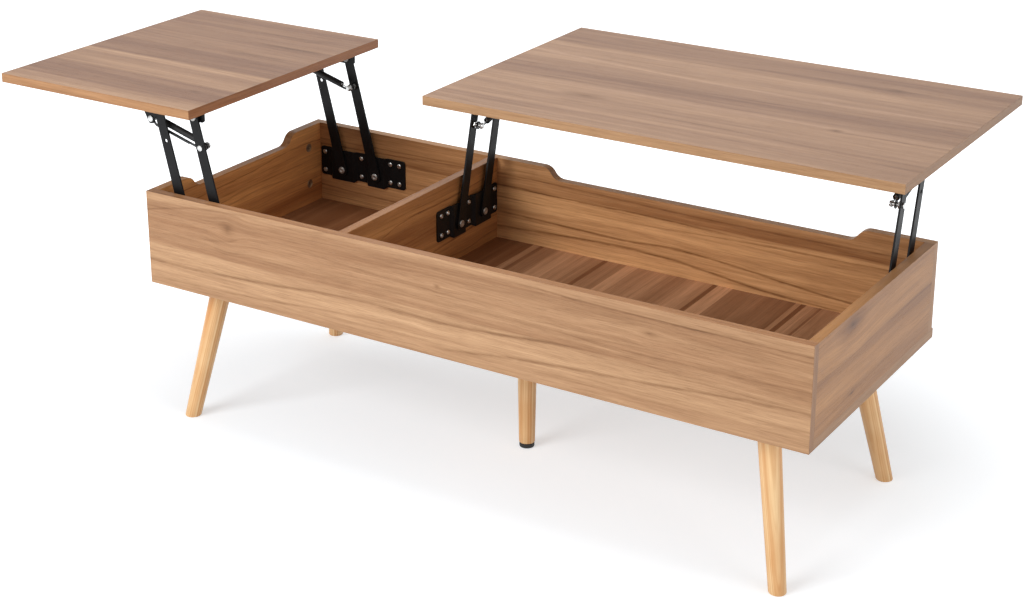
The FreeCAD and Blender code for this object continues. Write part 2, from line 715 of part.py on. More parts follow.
pad_profile = [(0, foot_pad_radius - foot_pad_round), (foot_pad_round, foot_pad_radius),
               (foot_pad_height - foot_pad_round, foot_pad_radius), (foot_pad_height, foot_pad_radius - foot_pad_round),
               (foot_pad_height, foot_stem_radius), (foot_pad_height + foot_stem, foot_stem_radius)]
levelling_foot = revolved(pad_profile, Vector(0, 0, 0), UP)
corner_plates = [cut(p, leg_bores) for p in corner_plates]
centre_plate = cut(centre_plate, leg_bores)
bottom_board = box(x_left, x_right, well_front, y_rear + board_rear_lip, z_under, z_floor)
bottom_board = cut(bottom_board, floor_bores + leg_bores)

# Tops, raised: the small one has moved to the left by the travel, the large one to the rear
tops = {
    "small": box(-top_length / 2 - travel, split_x - top_seam / 2 - travel, -top_depth / 2, top_depth / 2,
                 raised_under, raised_under + board),
    "large": box(split_x + top_seam / 2, top_length / 2, -top_depth / 2 + travel, top_depth / 2 + travel,
                 raised_under, raised_under + board),
}
parts = {
    "front_panel": front_panel,
    "back_panel": back_panel,
    "left_end_panel": left_end_panel,
    "right_end_panel": right_end_panel,
    "divider": divider,
    "bottom_board": bottom_board,
    "cam_locks": cam_locks,
    "cam_bolts": cam_bolts,
    "panel_dowels": dowels,
    "bottom_board_screws": floor_screws,
    "corner_leg_plates": corner_plates,
    "centre_leg_plate": centre_plate,
    "leg_plate_screws": leg_screws,
    "leg_hanger_bolts": hangers,
    "centre_leg": centre_leg,
    "levelling_foot": levelling_foot,
    "hinge_plate_screws": [s for wall in walls.values() for s in plate_screws(wall)],
    "base_pivot_rivets": [base_rivet(wall, place) for wall in walls.values() for place in pivots],
}
parts.update(corner_legs)
for side, names in (("small", ("small_front", "small_back")), ("large", ("large_left", "large_right"))):
    pair = [walls[name] for name in names]
    rail_screws, rail_bores = [], []
    for wall in pair:
        for u in rail_screws_at:
            seat = wall.at(u, rail_screw_n, raised_under - rail_steel)
            rail_screws.append(screw(seat, UP, rail_screw_length))
            rail_bores.append(screw_bore(seat, UP, rail_screw_length))
    parts[side + "_top_panel"] = cut(tops[side], rail_bores)
    parts[side + "_rail_screws"] = rail_screws
    parts[side + "_rail_rivets"] = [rail_rivet(wall, place) for wall in pair for place in pivots]
    parts[side + "_ear_studs"] = [ear_stud(wall) for wall in pair]
    parts[side + "_lift_springs"] = [lift_spring(wall) for wall in pair]
    parts[side + "_spring_sleeves"] = [spring_sleeve(wall) for wall in pair]
    parts[side + "_guide_wires"] = [wire for wall in pair for wire in guide_wires(wall)]
for name, wall in walls.items():
    lead_fit = running_fit if name in ("small_front", "large_left") else open_pivot_fit
    parts[name + "_hinge_plate"] = hinge_plate(wall)
    parts[name + "_lead_arm"] = arm(wall, lead_pivot_place, lead_fit, spring_hole_radius)
    parts[name + "_trail_arm"] = arm(wall, trail_pivot_place, open_pivot_fit, stud_radius + running_fit)
    parts[name + "_top_rail"] = top_rail(wall)
    parts[name + "_spring_bolt"] = spring_bolt(wall)

os.makedirs("parts", exist_ok=True)
for name, shape in parts.items():
    solids = shape if isinstance(shape, list) else [shape]
    whole = Part.makeCompound([s for item in solids for s in item.Solids])
    whole.exportStep("parts/" + name + ".step")
    count = len(whole.Solids)
    valid = all(s.isValid() for s in whole.Solids)
    print(f"{name}: {count} solids, valid {valid}, volume {whole.Volume:.0f}")
swing = raised_angle - math.degrees(math.asin(closed_rise / arm_reach))
print(f"swing {swing:.4f} degrees, travel {travel:.2f}, raised underside {raised_under:.2f}, nodes {len(parts)}")
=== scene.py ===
import logging
import math
from dataclasses import dataclass, field
from enum import Enum
from itertools import product
from typing import Callable, Mapping, NamedTuple, Optional, Sequence, Union

import bmesh
import bpy
from mathutils import Matrix, Vector


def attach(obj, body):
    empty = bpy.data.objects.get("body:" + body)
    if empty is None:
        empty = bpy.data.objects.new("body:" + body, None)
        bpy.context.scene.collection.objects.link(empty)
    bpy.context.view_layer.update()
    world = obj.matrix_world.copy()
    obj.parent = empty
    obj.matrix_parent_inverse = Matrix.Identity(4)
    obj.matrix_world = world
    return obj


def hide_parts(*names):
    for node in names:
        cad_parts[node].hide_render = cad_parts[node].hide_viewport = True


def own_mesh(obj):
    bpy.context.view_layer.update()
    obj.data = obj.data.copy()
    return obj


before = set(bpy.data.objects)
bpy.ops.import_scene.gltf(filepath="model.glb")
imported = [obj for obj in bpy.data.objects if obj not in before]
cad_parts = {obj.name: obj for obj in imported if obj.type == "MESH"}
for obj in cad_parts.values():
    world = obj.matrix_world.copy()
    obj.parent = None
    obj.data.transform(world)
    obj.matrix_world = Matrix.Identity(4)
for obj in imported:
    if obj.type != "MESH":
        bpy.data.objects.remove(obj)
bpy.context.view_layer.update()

LOG = logging.getLogger("coffee_table")
MM = 0.001
UP = Vector((0.0, 0.0, 1.0))
WHITE = (1.0, 1.0, 1.0)

Material = bpy.types.Material
Colour = tuple[float, float, float]
Value = Union[float, Colour, "Flow"]
Finishes = Mapping[str, Material]
Loop = Sequence[bmesh.types.BMVert]
Pair = tuple[float, float]
Row = tuple[float, ...]
# A turned piece's ring: its radius, its place along the axis in millimetres, and its share of lobing if any.
Ring = Row


def paint(red: int, green: int, blue: int) -> Colour:
    """Turn a colour as seen on a screen into the linear values that shaders take.

    Args:
        red: Red from 0 to 255.
        green: Green from 0 to 255.
        blue: Blue from 0 to 255.

    Returns:
        The linear colour.
    """
    parts = (red / 255, green / 255, blue / 255)
    return tuple(part / 12.92 if part <= 0.04045 else ((part + 0.055) / 1.055) ** 2.4 for part in parts)


def shares(row: Sequence[float]) -> list[Pair]:
    """Pairs of shares from a flat row of percentages."""
    return [(place / 100, level / 100) for place, level in zip(row[::2], row[1::2])]


def circle(count: int) -> list[float]:
    """Equal steps of angle all the way round."""
    return [math.tau * k / count for k in range(count)]


def polar(angle: float, radius: float, height: float = 0.0) -> Vector:
    """A point by its angle about Z, its distance from Z and its height."""
    return Vector((radius * math.cos(angle), radius * math.sin(angle), height))


def stand(name: str, data: bpy.types.ID) -> bpy.types.Object:
    """Put an object with this data into the scene."""
    made = bpy.data.objects.new(name, data)
    bpy.context.scene.collection.objects.link(made)
    return made


def operator(operation: str) -> Callable[..., "Flow"]:
    """Make an operator that adds a math node.

    Args:
        operation: The node's operation.

    Returns:
        The operator.
    """
    def work(self: "Flow", *others: Value) -> "Flow":
        """Add the node."""
        return self.bench.calc(operation, self, *others)
    return work


class Flow:
    """A value in a node tree; arithmetic on it adds the nodes that work it out."""

    def __init__(self, bench: "NodeBench", socket: bpy.types.NodeSocket) -> None:
        """Hold one output in the bench's tree."""
        self.bench, self.socket = bench, socket

    __add__ = __radd__ = operator("ADD")
    __sub__ = operator("SUBTRACT")
    __mul__ = __rmul__ = operator("MULTIPLY")
    __truediv__ = operator("DIVIDE")
    __pow__ = operator("POWER")
    __abs__ = operator("ABSOLUTE")

    def __rsub__(self, other: float) -> "Flow":
        """A plain number less this value."""
        return self.bench.calc("SUBTRACT", other, self)


class NodeBench:
    """Builds a node tree, one short call per node."""

    def __init__(self, tree: bpy.types.NodeTree) -> None:
        """Start work on a tree."""
        self.tree = tree

    def add(self, kind: str, inputs: Mapping[Union[int, str], Value], output: Union[int, str] = 0,
            **settings: object) -> Flow:
        """Add a node.

        Args:
            kind: The node's type.
            inputs: What goes into its inputs, by number or name.
            output: The output that is used.
            settings: Properties to set on it.

        Returns:
            The output.
        """
        made = self.tree.nodes.new(f"ShaderNode{kind}")
        for key, value in settings.items():
            setattr(made, key, value)
        for key, value in inputs.items():
            self.feed(made.inputs[key], value)
        return Flow(self, made.outputs[output])

    def feed(self, target: bpy.types.NodeSocket, value: Value) -> None:
        """Set an input to a number or colour, or link it to a value of the tree.

        Args:
            target: The input.
            value: What goes into it.
        """
        if isinstance(value, Flow):
            self.tree.links.new(value.socket, target)
        else:
            target.default_value = (*value, 1.0) if isinstance(value, tuple) else value

    def calc(self, operation: str, *values: Value, clamp: bool = False) -> Flow:
        """Arithmetic on numbers, its result held between 0 and 1 if clamp is set."""
        return self.add("Math", dict(enumerate(values)), operation=operation, use_clamp=clamp)

    def vector(self, *parts: Value) -> Flow:
        """Join three numbers into a vector."""
        return self.add("CombineXYZ", dict(enumerate(parts)))

    def dot(self, a: Flow, b: Flow) -> Flow:
        """Scalar product of two vectors."""
        return self.add("VectorMath", {0: a, 1: b}, "Value", operation="DOT_PRODUCT")

    def split(self, vector: Flow) -> list[Flow]:
        """The three numbers of a vector."""
        return [Flow(self, part) for part in self.add("SeparateXYZ", {0: vector}).socket.node.outputs]

    def place(self) -> Flow:
        """The place on the piece, in the table's own frame in metres."""
        return self.add("TexCoord", {}, "Object")

    def flat(self) -> Flow:
        """The direction that the flat face looks in, before any smoothing."""
        return self.add("NewGeometry", {}, "True Normal")

    def eased(self, radius: float) -> Flow:
        """The surface's direction as if its edges were eased by a radius in metres."""
        return self.add("Bevel", {"Radius": radius}, samples=4)

    def seen(self) -> Flow:
        """1 for rays from the camera and for those through mirrors and glass, 0 for all others."""
        seen = self.add("LightPath", {}, "Is Camera Ray")
        for ray in ("Glossy", "Transmission"):
            seen = self.calc("MAXIMUM", seen, self.add("LightPath", {}, f"Is {ray} Ray"))
        return seen

    def noise(self, where: Flow, scale: float, detail: float = 2.0, roughness: float = 0.5,
              line: bool = False) -> Flow:
        """Soft random value about 0.5.

        Args:
            where: Vector to sample at, or the number to sample at when line is set.
            scale: Features per unit.
            detail: Octaves.
            roughness: Strength of the finer octaves.
            line: Sample along one number.

        Returns:
            The value.
        """
        inputs = {"W" if line else "Vector": where, "Scale": scale, "Detail": detail, "Roughness": roughness}
        return self.add("TexNoise", inputs, noise_dimensions="1D" if line else "3D")

    def ramp(self, factor: Flow, stops: Sequence[Pair], easing: str) -> Flow:
        """Grey level picked by a number.

        Args:
            factor: Number from 0 to 1.
            stops: Places with a grey level, in order.
            easing: How it passes from stop to stop.

        Returns:
            The level.
        """
        made = self.add("ValToRGB", {0: factor})
        ramp = made.socket.node.color_ramp
        ramp.interpolation = easing
        while len(ramp.elements) < len(stops):
            ramp.elements.new(1.0)
        for element, (spot, level) in zip(ramp.elements, stops):
            element.position = spot
            element.color = (level, level, level, 1.0)
        return made

    def curve(self, factor: Flow, points: Sequence[Pair]) -> Flow:
        """Smooth curve through points.

        Args:
            factor: Number from 0 to 1.
            points: Places and heights, both from 0 to 1.

        Returns:
            The curve's height.
        """
        made = self.add("FloatCurve", {"Value": factor})
        mapping = made.socket.node.mapping
        line = mapping.curves[0]
        while len(line.points) < len(points):
            line.points.new(0.5, 0.5)
        for point, place in zip(line.points, points):
            point.location = place
        mapping.update()
        return made

    def span(self, value: Flow, *limits: Value) -> Flow:
        """Rescale a number from two limits to two others, 0 and 1 if not given, and hold it there."""
        return self.add("MapRange", dict(enumerate((value, *limits))), clamp=True)

    def mix(self, factor: Value, a: Value, b: Value, blend: str = "MIX") -> Flow:
        """Blend two colours, the factor being the share of the second."""
        return self.add("Mix", {0: factor, 6: a, 7: b}, 2, data_type="RGBA", blend_type=blend)


class FinishBench(NodeBench):
    """Builds a material round one Principled shader."""

    def __init__(self, name: str) -> None:
        """Start an empty material with this name."""
        self.material = bpy.data.materials.new(name)
        self.material.use_nodes = True
        super().__init__(self.material.node_tree)
        self.tree.nodes.clear()
        output = self.tree.nodes.new("ShaderNodeOutputMaterial")
        self.shader = self.tree.nodes.new("ShaderNodeBsdfPrincipled")
        self.tree.links.new(self.shader.outputs["BSDF"], output.inputs["Surface"])

    def bump(self, height: Flow, depth: float, soften: float = 0.0) -> None:
        """Give the surface relief.

        Args:
            height: Height from 0 to 1.
            depth: Full height in metres.
            soften: Radius in metres by which edges look eased.
        """
        inputs = {"Strength": 1.0, "Distance": depth, "Height": height}
        if soften:
            inputs["Normal"] = self.eased(soften)
        self.feed(self.shader.inputs["Normal"], self.add("Bump", inputs))

    def finish(self, colour: Value, roughness: Value, metallic: float = 0.0,
               specular: float = 0.5) -> Material:
        """Set the shader's main inputs.

        Args:
            colour: Base colour.
            roughness: Roughness.
            metallic: 1 for bare metal.
            specular: Strength of the reflection of a coating or plastic.

        Returns:
            The finished material.
        """
        names = ("Base Color", "Roughness", "Metallic", "Specular IOR Level")
        for name, value in zip(names, (colour, roughness, metallic, specular)):
            self.feed(self.shader.inputs[name], value)
        return self.material


class Lay(Enum):
    """How a board lies: the grain's axis where a face looks along X, Y and Z, the axis across it in the same
    order, and the axes that its broad face and its end look along."""

    LEVEL = ("YXX", "ZZY", "Z", "X")
    LONG = ("ZXX", "YZY", "Y", "X")
    CROSS = ("YXY", "ZZX", "X", "Y")
    FLOOR = ("YXY", "ZZX", "Z", "X")


class Knot(NamedTuple):
    """A small knot in the wood print: its place along and across the grain, in metres, and its looks."""

    along: float
    across: float
    size: float
    depth: float
    spread: float


class Mark(NamedTuple):
    """One line of the print by its path over the board in percent; a bright one has a depth below 0."""

    path: Row
    depth: float
    width: float
    ends: Pair = (-0.2, 1.2)


class Figure(NamedTuple):
    """A stretched random figure: changes per metre along and across the grain, octaves and layer."""

    along: float
    across: float
    detail: float = 1.0
    roughness: float = 0.5
    layer: float = 0.0


@dataclass(frozen=True)
class WalnutFoil:
    """Walnut-look laminate: broad tan and mauve bands, fine lines along a slow wave, pores, knots and painted
    shade.
    """

    name: str
    lay: Lay
    across_range: Pair
    along_range: Pair
    # Print bands across the grain as pairs of percentages; on the bottom board the first third is painted
    # shade in the small well.
    bands_and_shade: Row
    light: Colour
    dark: Colour
    edge: Colour
    # Colour of the board's end strips; on the two tops it is much darker than the long edges, as painted
    # shade on the tops' ends.
    end_edge_and_shade: Colour
    contrast: float = 1.0
    crisp: bool = False
    wave: float = 0.016
    line_depth: float = 0.20
    contour_depth: float = 0.20
    contour_pitch: float = 0.020
    contour_width: float = 0.022
    knots: tuple[Knot, ...] = ()
    marks: tuple[Mark, ...] = ()
    mark_fade: float = 0.1
    mark_shake: float = 0.0022
    # Brightness along the board as pairs of percentages, 50 being plain: painted light falloff on the large
    # top, painted shade on the back panel's small-well part, and darker towards its back end on the right end
    # panel.
    tone_and_shade_along: Row = (0, 50, 100, 50)
    seed: float = 0.0
    roughness: Pair = (0.36, 0.52)
    specular: float = 0.28
    pore_depth: float = 0.12
    darkest: float = 0.05
    warmth: Pair = (1.20, 1.45)
    relief: float = 0.00012
    eased: float = 0.0007
    facing: float = 0.6
    layer_step: float = 3.1
    knot_halo: float = 2.6
    knot_pull: float = 0.8
    mark_breaks: Row = (0.25, 0.6, 0.65, 1.0)
    drift: float = 0.25
    crisp_drift: float = 0.12
    blotch_share: float = 0.64
    edge_share: float = 0.75
    end_share: float = 0.8
    fibre: Figure = Figure(22.0, 900.0, 3.0, 0.62)
    pores: Figure = Figure(50.0, 1300.0)
    slow: Figure = Figure(2.3, 6.5)
    quick: Figure = Figure(9.0, 22.0, 2.0, layer=7.0)
    shake: Figure = Figure(45.0, 60.0, 2.0)
    fleck: Figure = Figure(0.9, 34.0, 2.0, 0.6)
    patch: Figure = Figure(4.0, 60.0, 2.0, layer=4.0)
    broad: Figure = Figure(1.8, 120.0, 2.0, 0.55)
    fine: Figure = Figure(15.0, 340.0, 3.0, 0.6)
    fade: Figure = Figure(4.0, 30.0, layer=19.0)

    def build(self) -> Material:
        """Make the material."""
        return FoilBench(self).build()


class FoilBench(FinishBench):
    """Builds the laminate of one board."""

    def __init__(self, foil: WalnutFoil) -> None:
        """Find the grain's own directions on each face of the board, in metres, and its lines.

        Args:
            foil: The laminate.
        """
        super().__init__(foil.name)
        self.foil = foil
        spot = dict(zip("XYZ", self.split(self.place())))
        normal = zip("XYZ", self.split(self.flat()))
        facing = {axis: self.calc("GREATER_THAN", abs(part), foil.facing) for axis, part in normal}
        mask = self.vector(*facing.values())
        *ways, face, end = foil.lay.value
        self.along, self.across = (self.dot(self.vector(*(spot[axis] for axis in way)), mask) for way in ways)
        self.layer = spot[face] * foil.layer_step + foil.seed
        self.on_face, self.on_end = facing[face], facing[end]
        self.off_face = 1.0 - self.on_face
        self.reach = self.span(self.along, *foil.along_range)
        self.line, self.shade = self.grain_line()
        self.fibre = self.draw(self.line, foil.fibre)

    def draw(self, across: Flow, figure: Figure) -> Flow:
        """Draw a random figure over the board, across either the board or its grain line."""
        where = self.vector(self.along * figure.along, across * figure.across, self.layer + figure.layer)
        return self.noise(where, 1.0, figure.detail, figure.roughness)

    def grain_line(self) -> tuple[Flow, Value]:
        """The number that stays the same along one line of grain, in metres, and the darkness of the knots.

        Returns:
            The grain line and the knots' shade.
        """
        slow, quick = self.draw(self.across, self.foil.slow), self.draw(self.across, self.foil.quick)
        line = self.across + (slow - 0.5) * (self.foil.wave * 2) + (quick - 0.5) * (self.foil.wave * 0.4)
        shade: Value = 0.0
        for knot in self.foil.knots:
            off_along = (self.along - knot.along) / knot.spread
            off_across = self.across - knot.across
            reach = self.calc("SQRT", off_along * off_along + off_across * off_across)
            near = self.span(reach, knot.size * self.foil.knot_halo, 0.0) * self.on_face
            line = line - off_across * (near * near) * self.foil.knot_pull
            core = self.span(reach, knot.size, 0.0) * self.on_face
            shade = core * core * knot.depth + shade
        return line, shade

    def drawn_lines(self) -> Flow:
        """The lines that are drawn by their paths.

        Returns:
            Their darkness.
        """
        foil = self.foil
        low, high = foil.across_range
        shake = self.draw(self.across, foil.shake)
        spot = self.across + (shake - 0.5) * foil.mark_shake
        total: Value = 0.0
        for mark in foil.marks:
            course = self.curve(self.reach, shares(mark.path)) * (high - low) + low
            start, end = mark.ends
            held = self.span(self.reach, start, start + foil.mark_fade) * self.span(shake, *foil.mark_breaks)
            held = held * self.span(self.reach, end, end - foil.mark_fade)
            total = held * self.span(abs(spot - course), mark.width, 0.0, 0.0, mark.depth) + total
        return self.on_face * total

    def broad_colour(self) -> Flow:
        """The tan and mauve bands of the face, and the plain edge strips, with painted shade in some bands
        and end strips.

        Returns:
            The colour before its fine lines.
        """
        foil = self.foil
        # Print bands, with the bottom board's painted shade in the small well.
        band_and_shade = self.ramp(self.span(self.line, *foil.across_range), shares(foil.bands_and_shade),
                         "CONSTANT" if foil.crisp else "EASE")
        band_and_shade = self.span(band_and_shade, 0.0, 1.0, 0.5 - foil.contrast / 2, 0.5 + foil.contrast / 2)
        fleck, patch = self.draw(self.line, foil.fleck), self.draw(self.line, foil.patch)
        drift = foil.crisp_drift if foil.crisp else foil.drift
        tone = band_and_shade * self.on_face + self.off_face * fleck + self.span(fleck, 0.3, 0.7, -drift, drift)
        blotch = self.span(patch, 0.3, 0.7, -drift * foil.blotch_share, drift * foil.blotch_share)
        colour = self.mix(self.calc("ADD", tone, blotch, clamp=True), foil.light, foil.dark)
        colour = self.mix(self.off_face * foil.edge_share, colour, foil.edge)
        # The end strips; on the tops their colour is painted shade.
        return self.mix(self.on_end * foil.end_share, colour, foil.end_edge_and_shade)

    def fine_lines(self) -> Flow:
        """The fine figure: soft lines and thin growth contours.

        Returns:
            What to add to a brightness of 1.
        """
        foil, line, depth = self.foil, self.line, self.foil.line_depth
        lines = self.span(self.draw(line, foil.broad), 0.32, 0.68, -depth * 0.35, depth * 0.35)
        lines = lines + self.span(self.draw(line, foil.fine), 0.32, 0.68, -depth * 0.5, depth * 0.35)
        lines = lines + self.span(self.fibre, 0.3, 0.7, -depth * 0.4, depth * 0.4)
        growth = self.draw(line, Figure(1.5, 1 / foil.contour_pitch, layer=11.0))
        contour = self.span(abs(growth - 0.5), foil.contour_width, 0.0)
        return lines - contour * self.span(self.draw(line, foil.fade), 0.42, 0.62, 0.0, foil.contour_depth)

    def build(self) -> Material:
        """Make the material.

        Returns:
            The laminate's material.
        """
        foil = self.foil
        pore = self.span(self.draw(self.line, foil.pores), 0.60, 0.72)
        lines = self.fine_lines() - pore * foil.pore_depth - self.shade - self.drawn_lines()
        level = self.calc("MAXIMUM", lines + 1.0, foil.darkest)
        # Painted shade and light falloff: the brightness ramp along the board darkens parts of some boards.
        level = level * (self.curve(self.reach, shares(foil.tone_and_shade_along)) + 0.5)
        warm = self.vector(level, *(level ** power for power in foil.warmth))
        colour = self.mix(1.0, self.broad_colour(), warm, "MULTIPLY")
        rough = self.span(self.fibre + pore * 0.3, 0.2, 0.9, *foil.roughness)
        self.bump(self.fibre - pore, foil.relief, foil.eased)
        return self.finish(colour, rough, specular=foil.specular)


@dataclass(frozen=True)
class PineLeg:
    """Clear-lacquered light wood, turned: soft straight growth lines and a faint warm patchiness."""

    name: str = "light_wood"
    light: Colour = paint(247, 209, 156)
    dark: Colour = paint(213, 149, 86)
    growth_lines: float = 290.0
    wander: float = 0.007
    relief: float = 0.0001

    def build(self) -> Material:
        """Make the material.

        Returns:
            The leg wood's material.
        """
        bench = FinishBench(self.name)
        x, y, z = bench.split(bench.place())
        wander = bench.noise(bench.vector(x, y, z * 4.0), 1.0) * self.wander
        growth = bench.noise(x * 0.8 + y * 0.6 + wander, self.growth_lines, 3.0, 0.55, line=True)
        fibre = bench.noise(bench.vector(x * 900.0, y * 900.0, z * 24.0), 1.0, 3.0, 0.6)
        patch = bench.noise(bench.vector(x * 5.0, y * 5.0, z * 9.0), 1.0)
        tone = bench.span(growth, 0.36, 0.64) * 0.85 + bench.span(patch, 0.3, 0.7, -0.1, 0.3)
        tone = bench.calc("ADD", tone, (fibre - 0.5) * 0.5, clamp=True)
        bench.bump(fibre, self.relief)
        return bench.finish(bench.mix(tone, self.light, self.dark), bench.span(fibre, 0.2, 0.8, 0.34, 0.5))


@dataclass(frozen=True)
class CoatedSteel:
    """Black powder-coated or phosphated steel, with a faint speckle and paler, rubbed edges."""

    name: str
    body: Colour = paint(8, 8, 9)
    rubbed: Colour = paint(52, 52, 54)
    roughness: Pair = (0.36, 0.50)
    specular: float = 0.16
    grain: float = 1400.0
    smears: float = 60.0
    rubbed_width: float = 0.0006
    relief: float = 0.00004
    eased: float = 0.0005

    def build(self) -> Material:
        """Make the material.

        Returns:
            The coating's material.
        """
        bench = FinishBench(self.name)
        speckle = bench.noise(bench.place(), self.grain, 2.0, 0.6)
        smear = bench.noise(bench.place(), self.smears, 3.0, 0.6)
        edge = bench.span(bench.dot(bench.eased(self.rubbed_width), bench.flat()), 0.985, 0.80)
        wear = edge * bench.span(smear, 0.35, 0.65) * 0.6
        colour = bench.mix(bench.span(speckle, 0.3, 0.8, 0.0, 0.25), self.body, self.rubbed)
        rough = bench.span(smear, 0.3, 0.7, *self.roughness) + (speckle - 0.5) * 0.1
        bench.bump(speckle, self.relief, self.eased)
        return bench.finish(bench.mix(wear, colour, self.rubbed), rough, specular=self.specular)


@dataclass(frozen=True)
class PlatedSteel:
    """Bright or dull zinc or nickel plate with fine rolling marks and slight stains."""

    name: str
    bright: Colour = paint(214, 214, 212)
    dull: Colour = paint(150, 150, 150)
    roughness: float = 0.28
    stains: float = 130.0
    rolling: float = 2600.0
    relief: float = 0.00002

    def build(self) -> Material:
        """Make the material.

        Returns:
            The plating's material.
        """
        bench = FinishBench(self.name)
        stain = bench.noise(bench.place(), self.stains, 3.0, 0.6)
        marks = bench.noise(bench.place(), self.rolling)
        colour = bench.mix(bench.span(stain, 0.35, 0.75), self.bright, self.dull)
        rough = bench.span(stain, 0.3, 0.7, self.roughness - 0.05, self.roughness + 0.1) + marks * 0.08
        bench.bump(marks, self.relief)
        return bench.finish(colour, rough, metallic=1.0)


@dataclass(frozen=True)
class BlackRubber:
    """Matte black rubber or soft plastic with a dusty bloom."""

    name: str
    body: Colour = paint(24, 24, 25)
    bloom: Colour = paint(62, 61, 60)
    roughness: float = 0.62
    specular: float = 0.4
    bloom_size: float = 90.0
    pitting: float = 1800.0
    relief: float = 0.00005

    def build(self) -> Material:
        """Make the material.

        Returns:
            The rubber's material.
        """
        bench = FinishBench(self.name)
        dust = bench.noise(bench.place(), self.bloom_size, 3.0, 0.65)
        pits = bench.noise(bench.place(), self.pitting, 2.0, 0.6)
        colour = bench.mix(bench.span(dust, 0.4, 0.8, 0.0, 0.45), self.body, self.bloom)
        rough = bench.span(pits, 0.2, 0.8, self.roughness - 0.08, self.roughness + 0.12)
        bench.bump(pits, self.relief)
        return bench.finish(colour, rough, specular=self.specular)


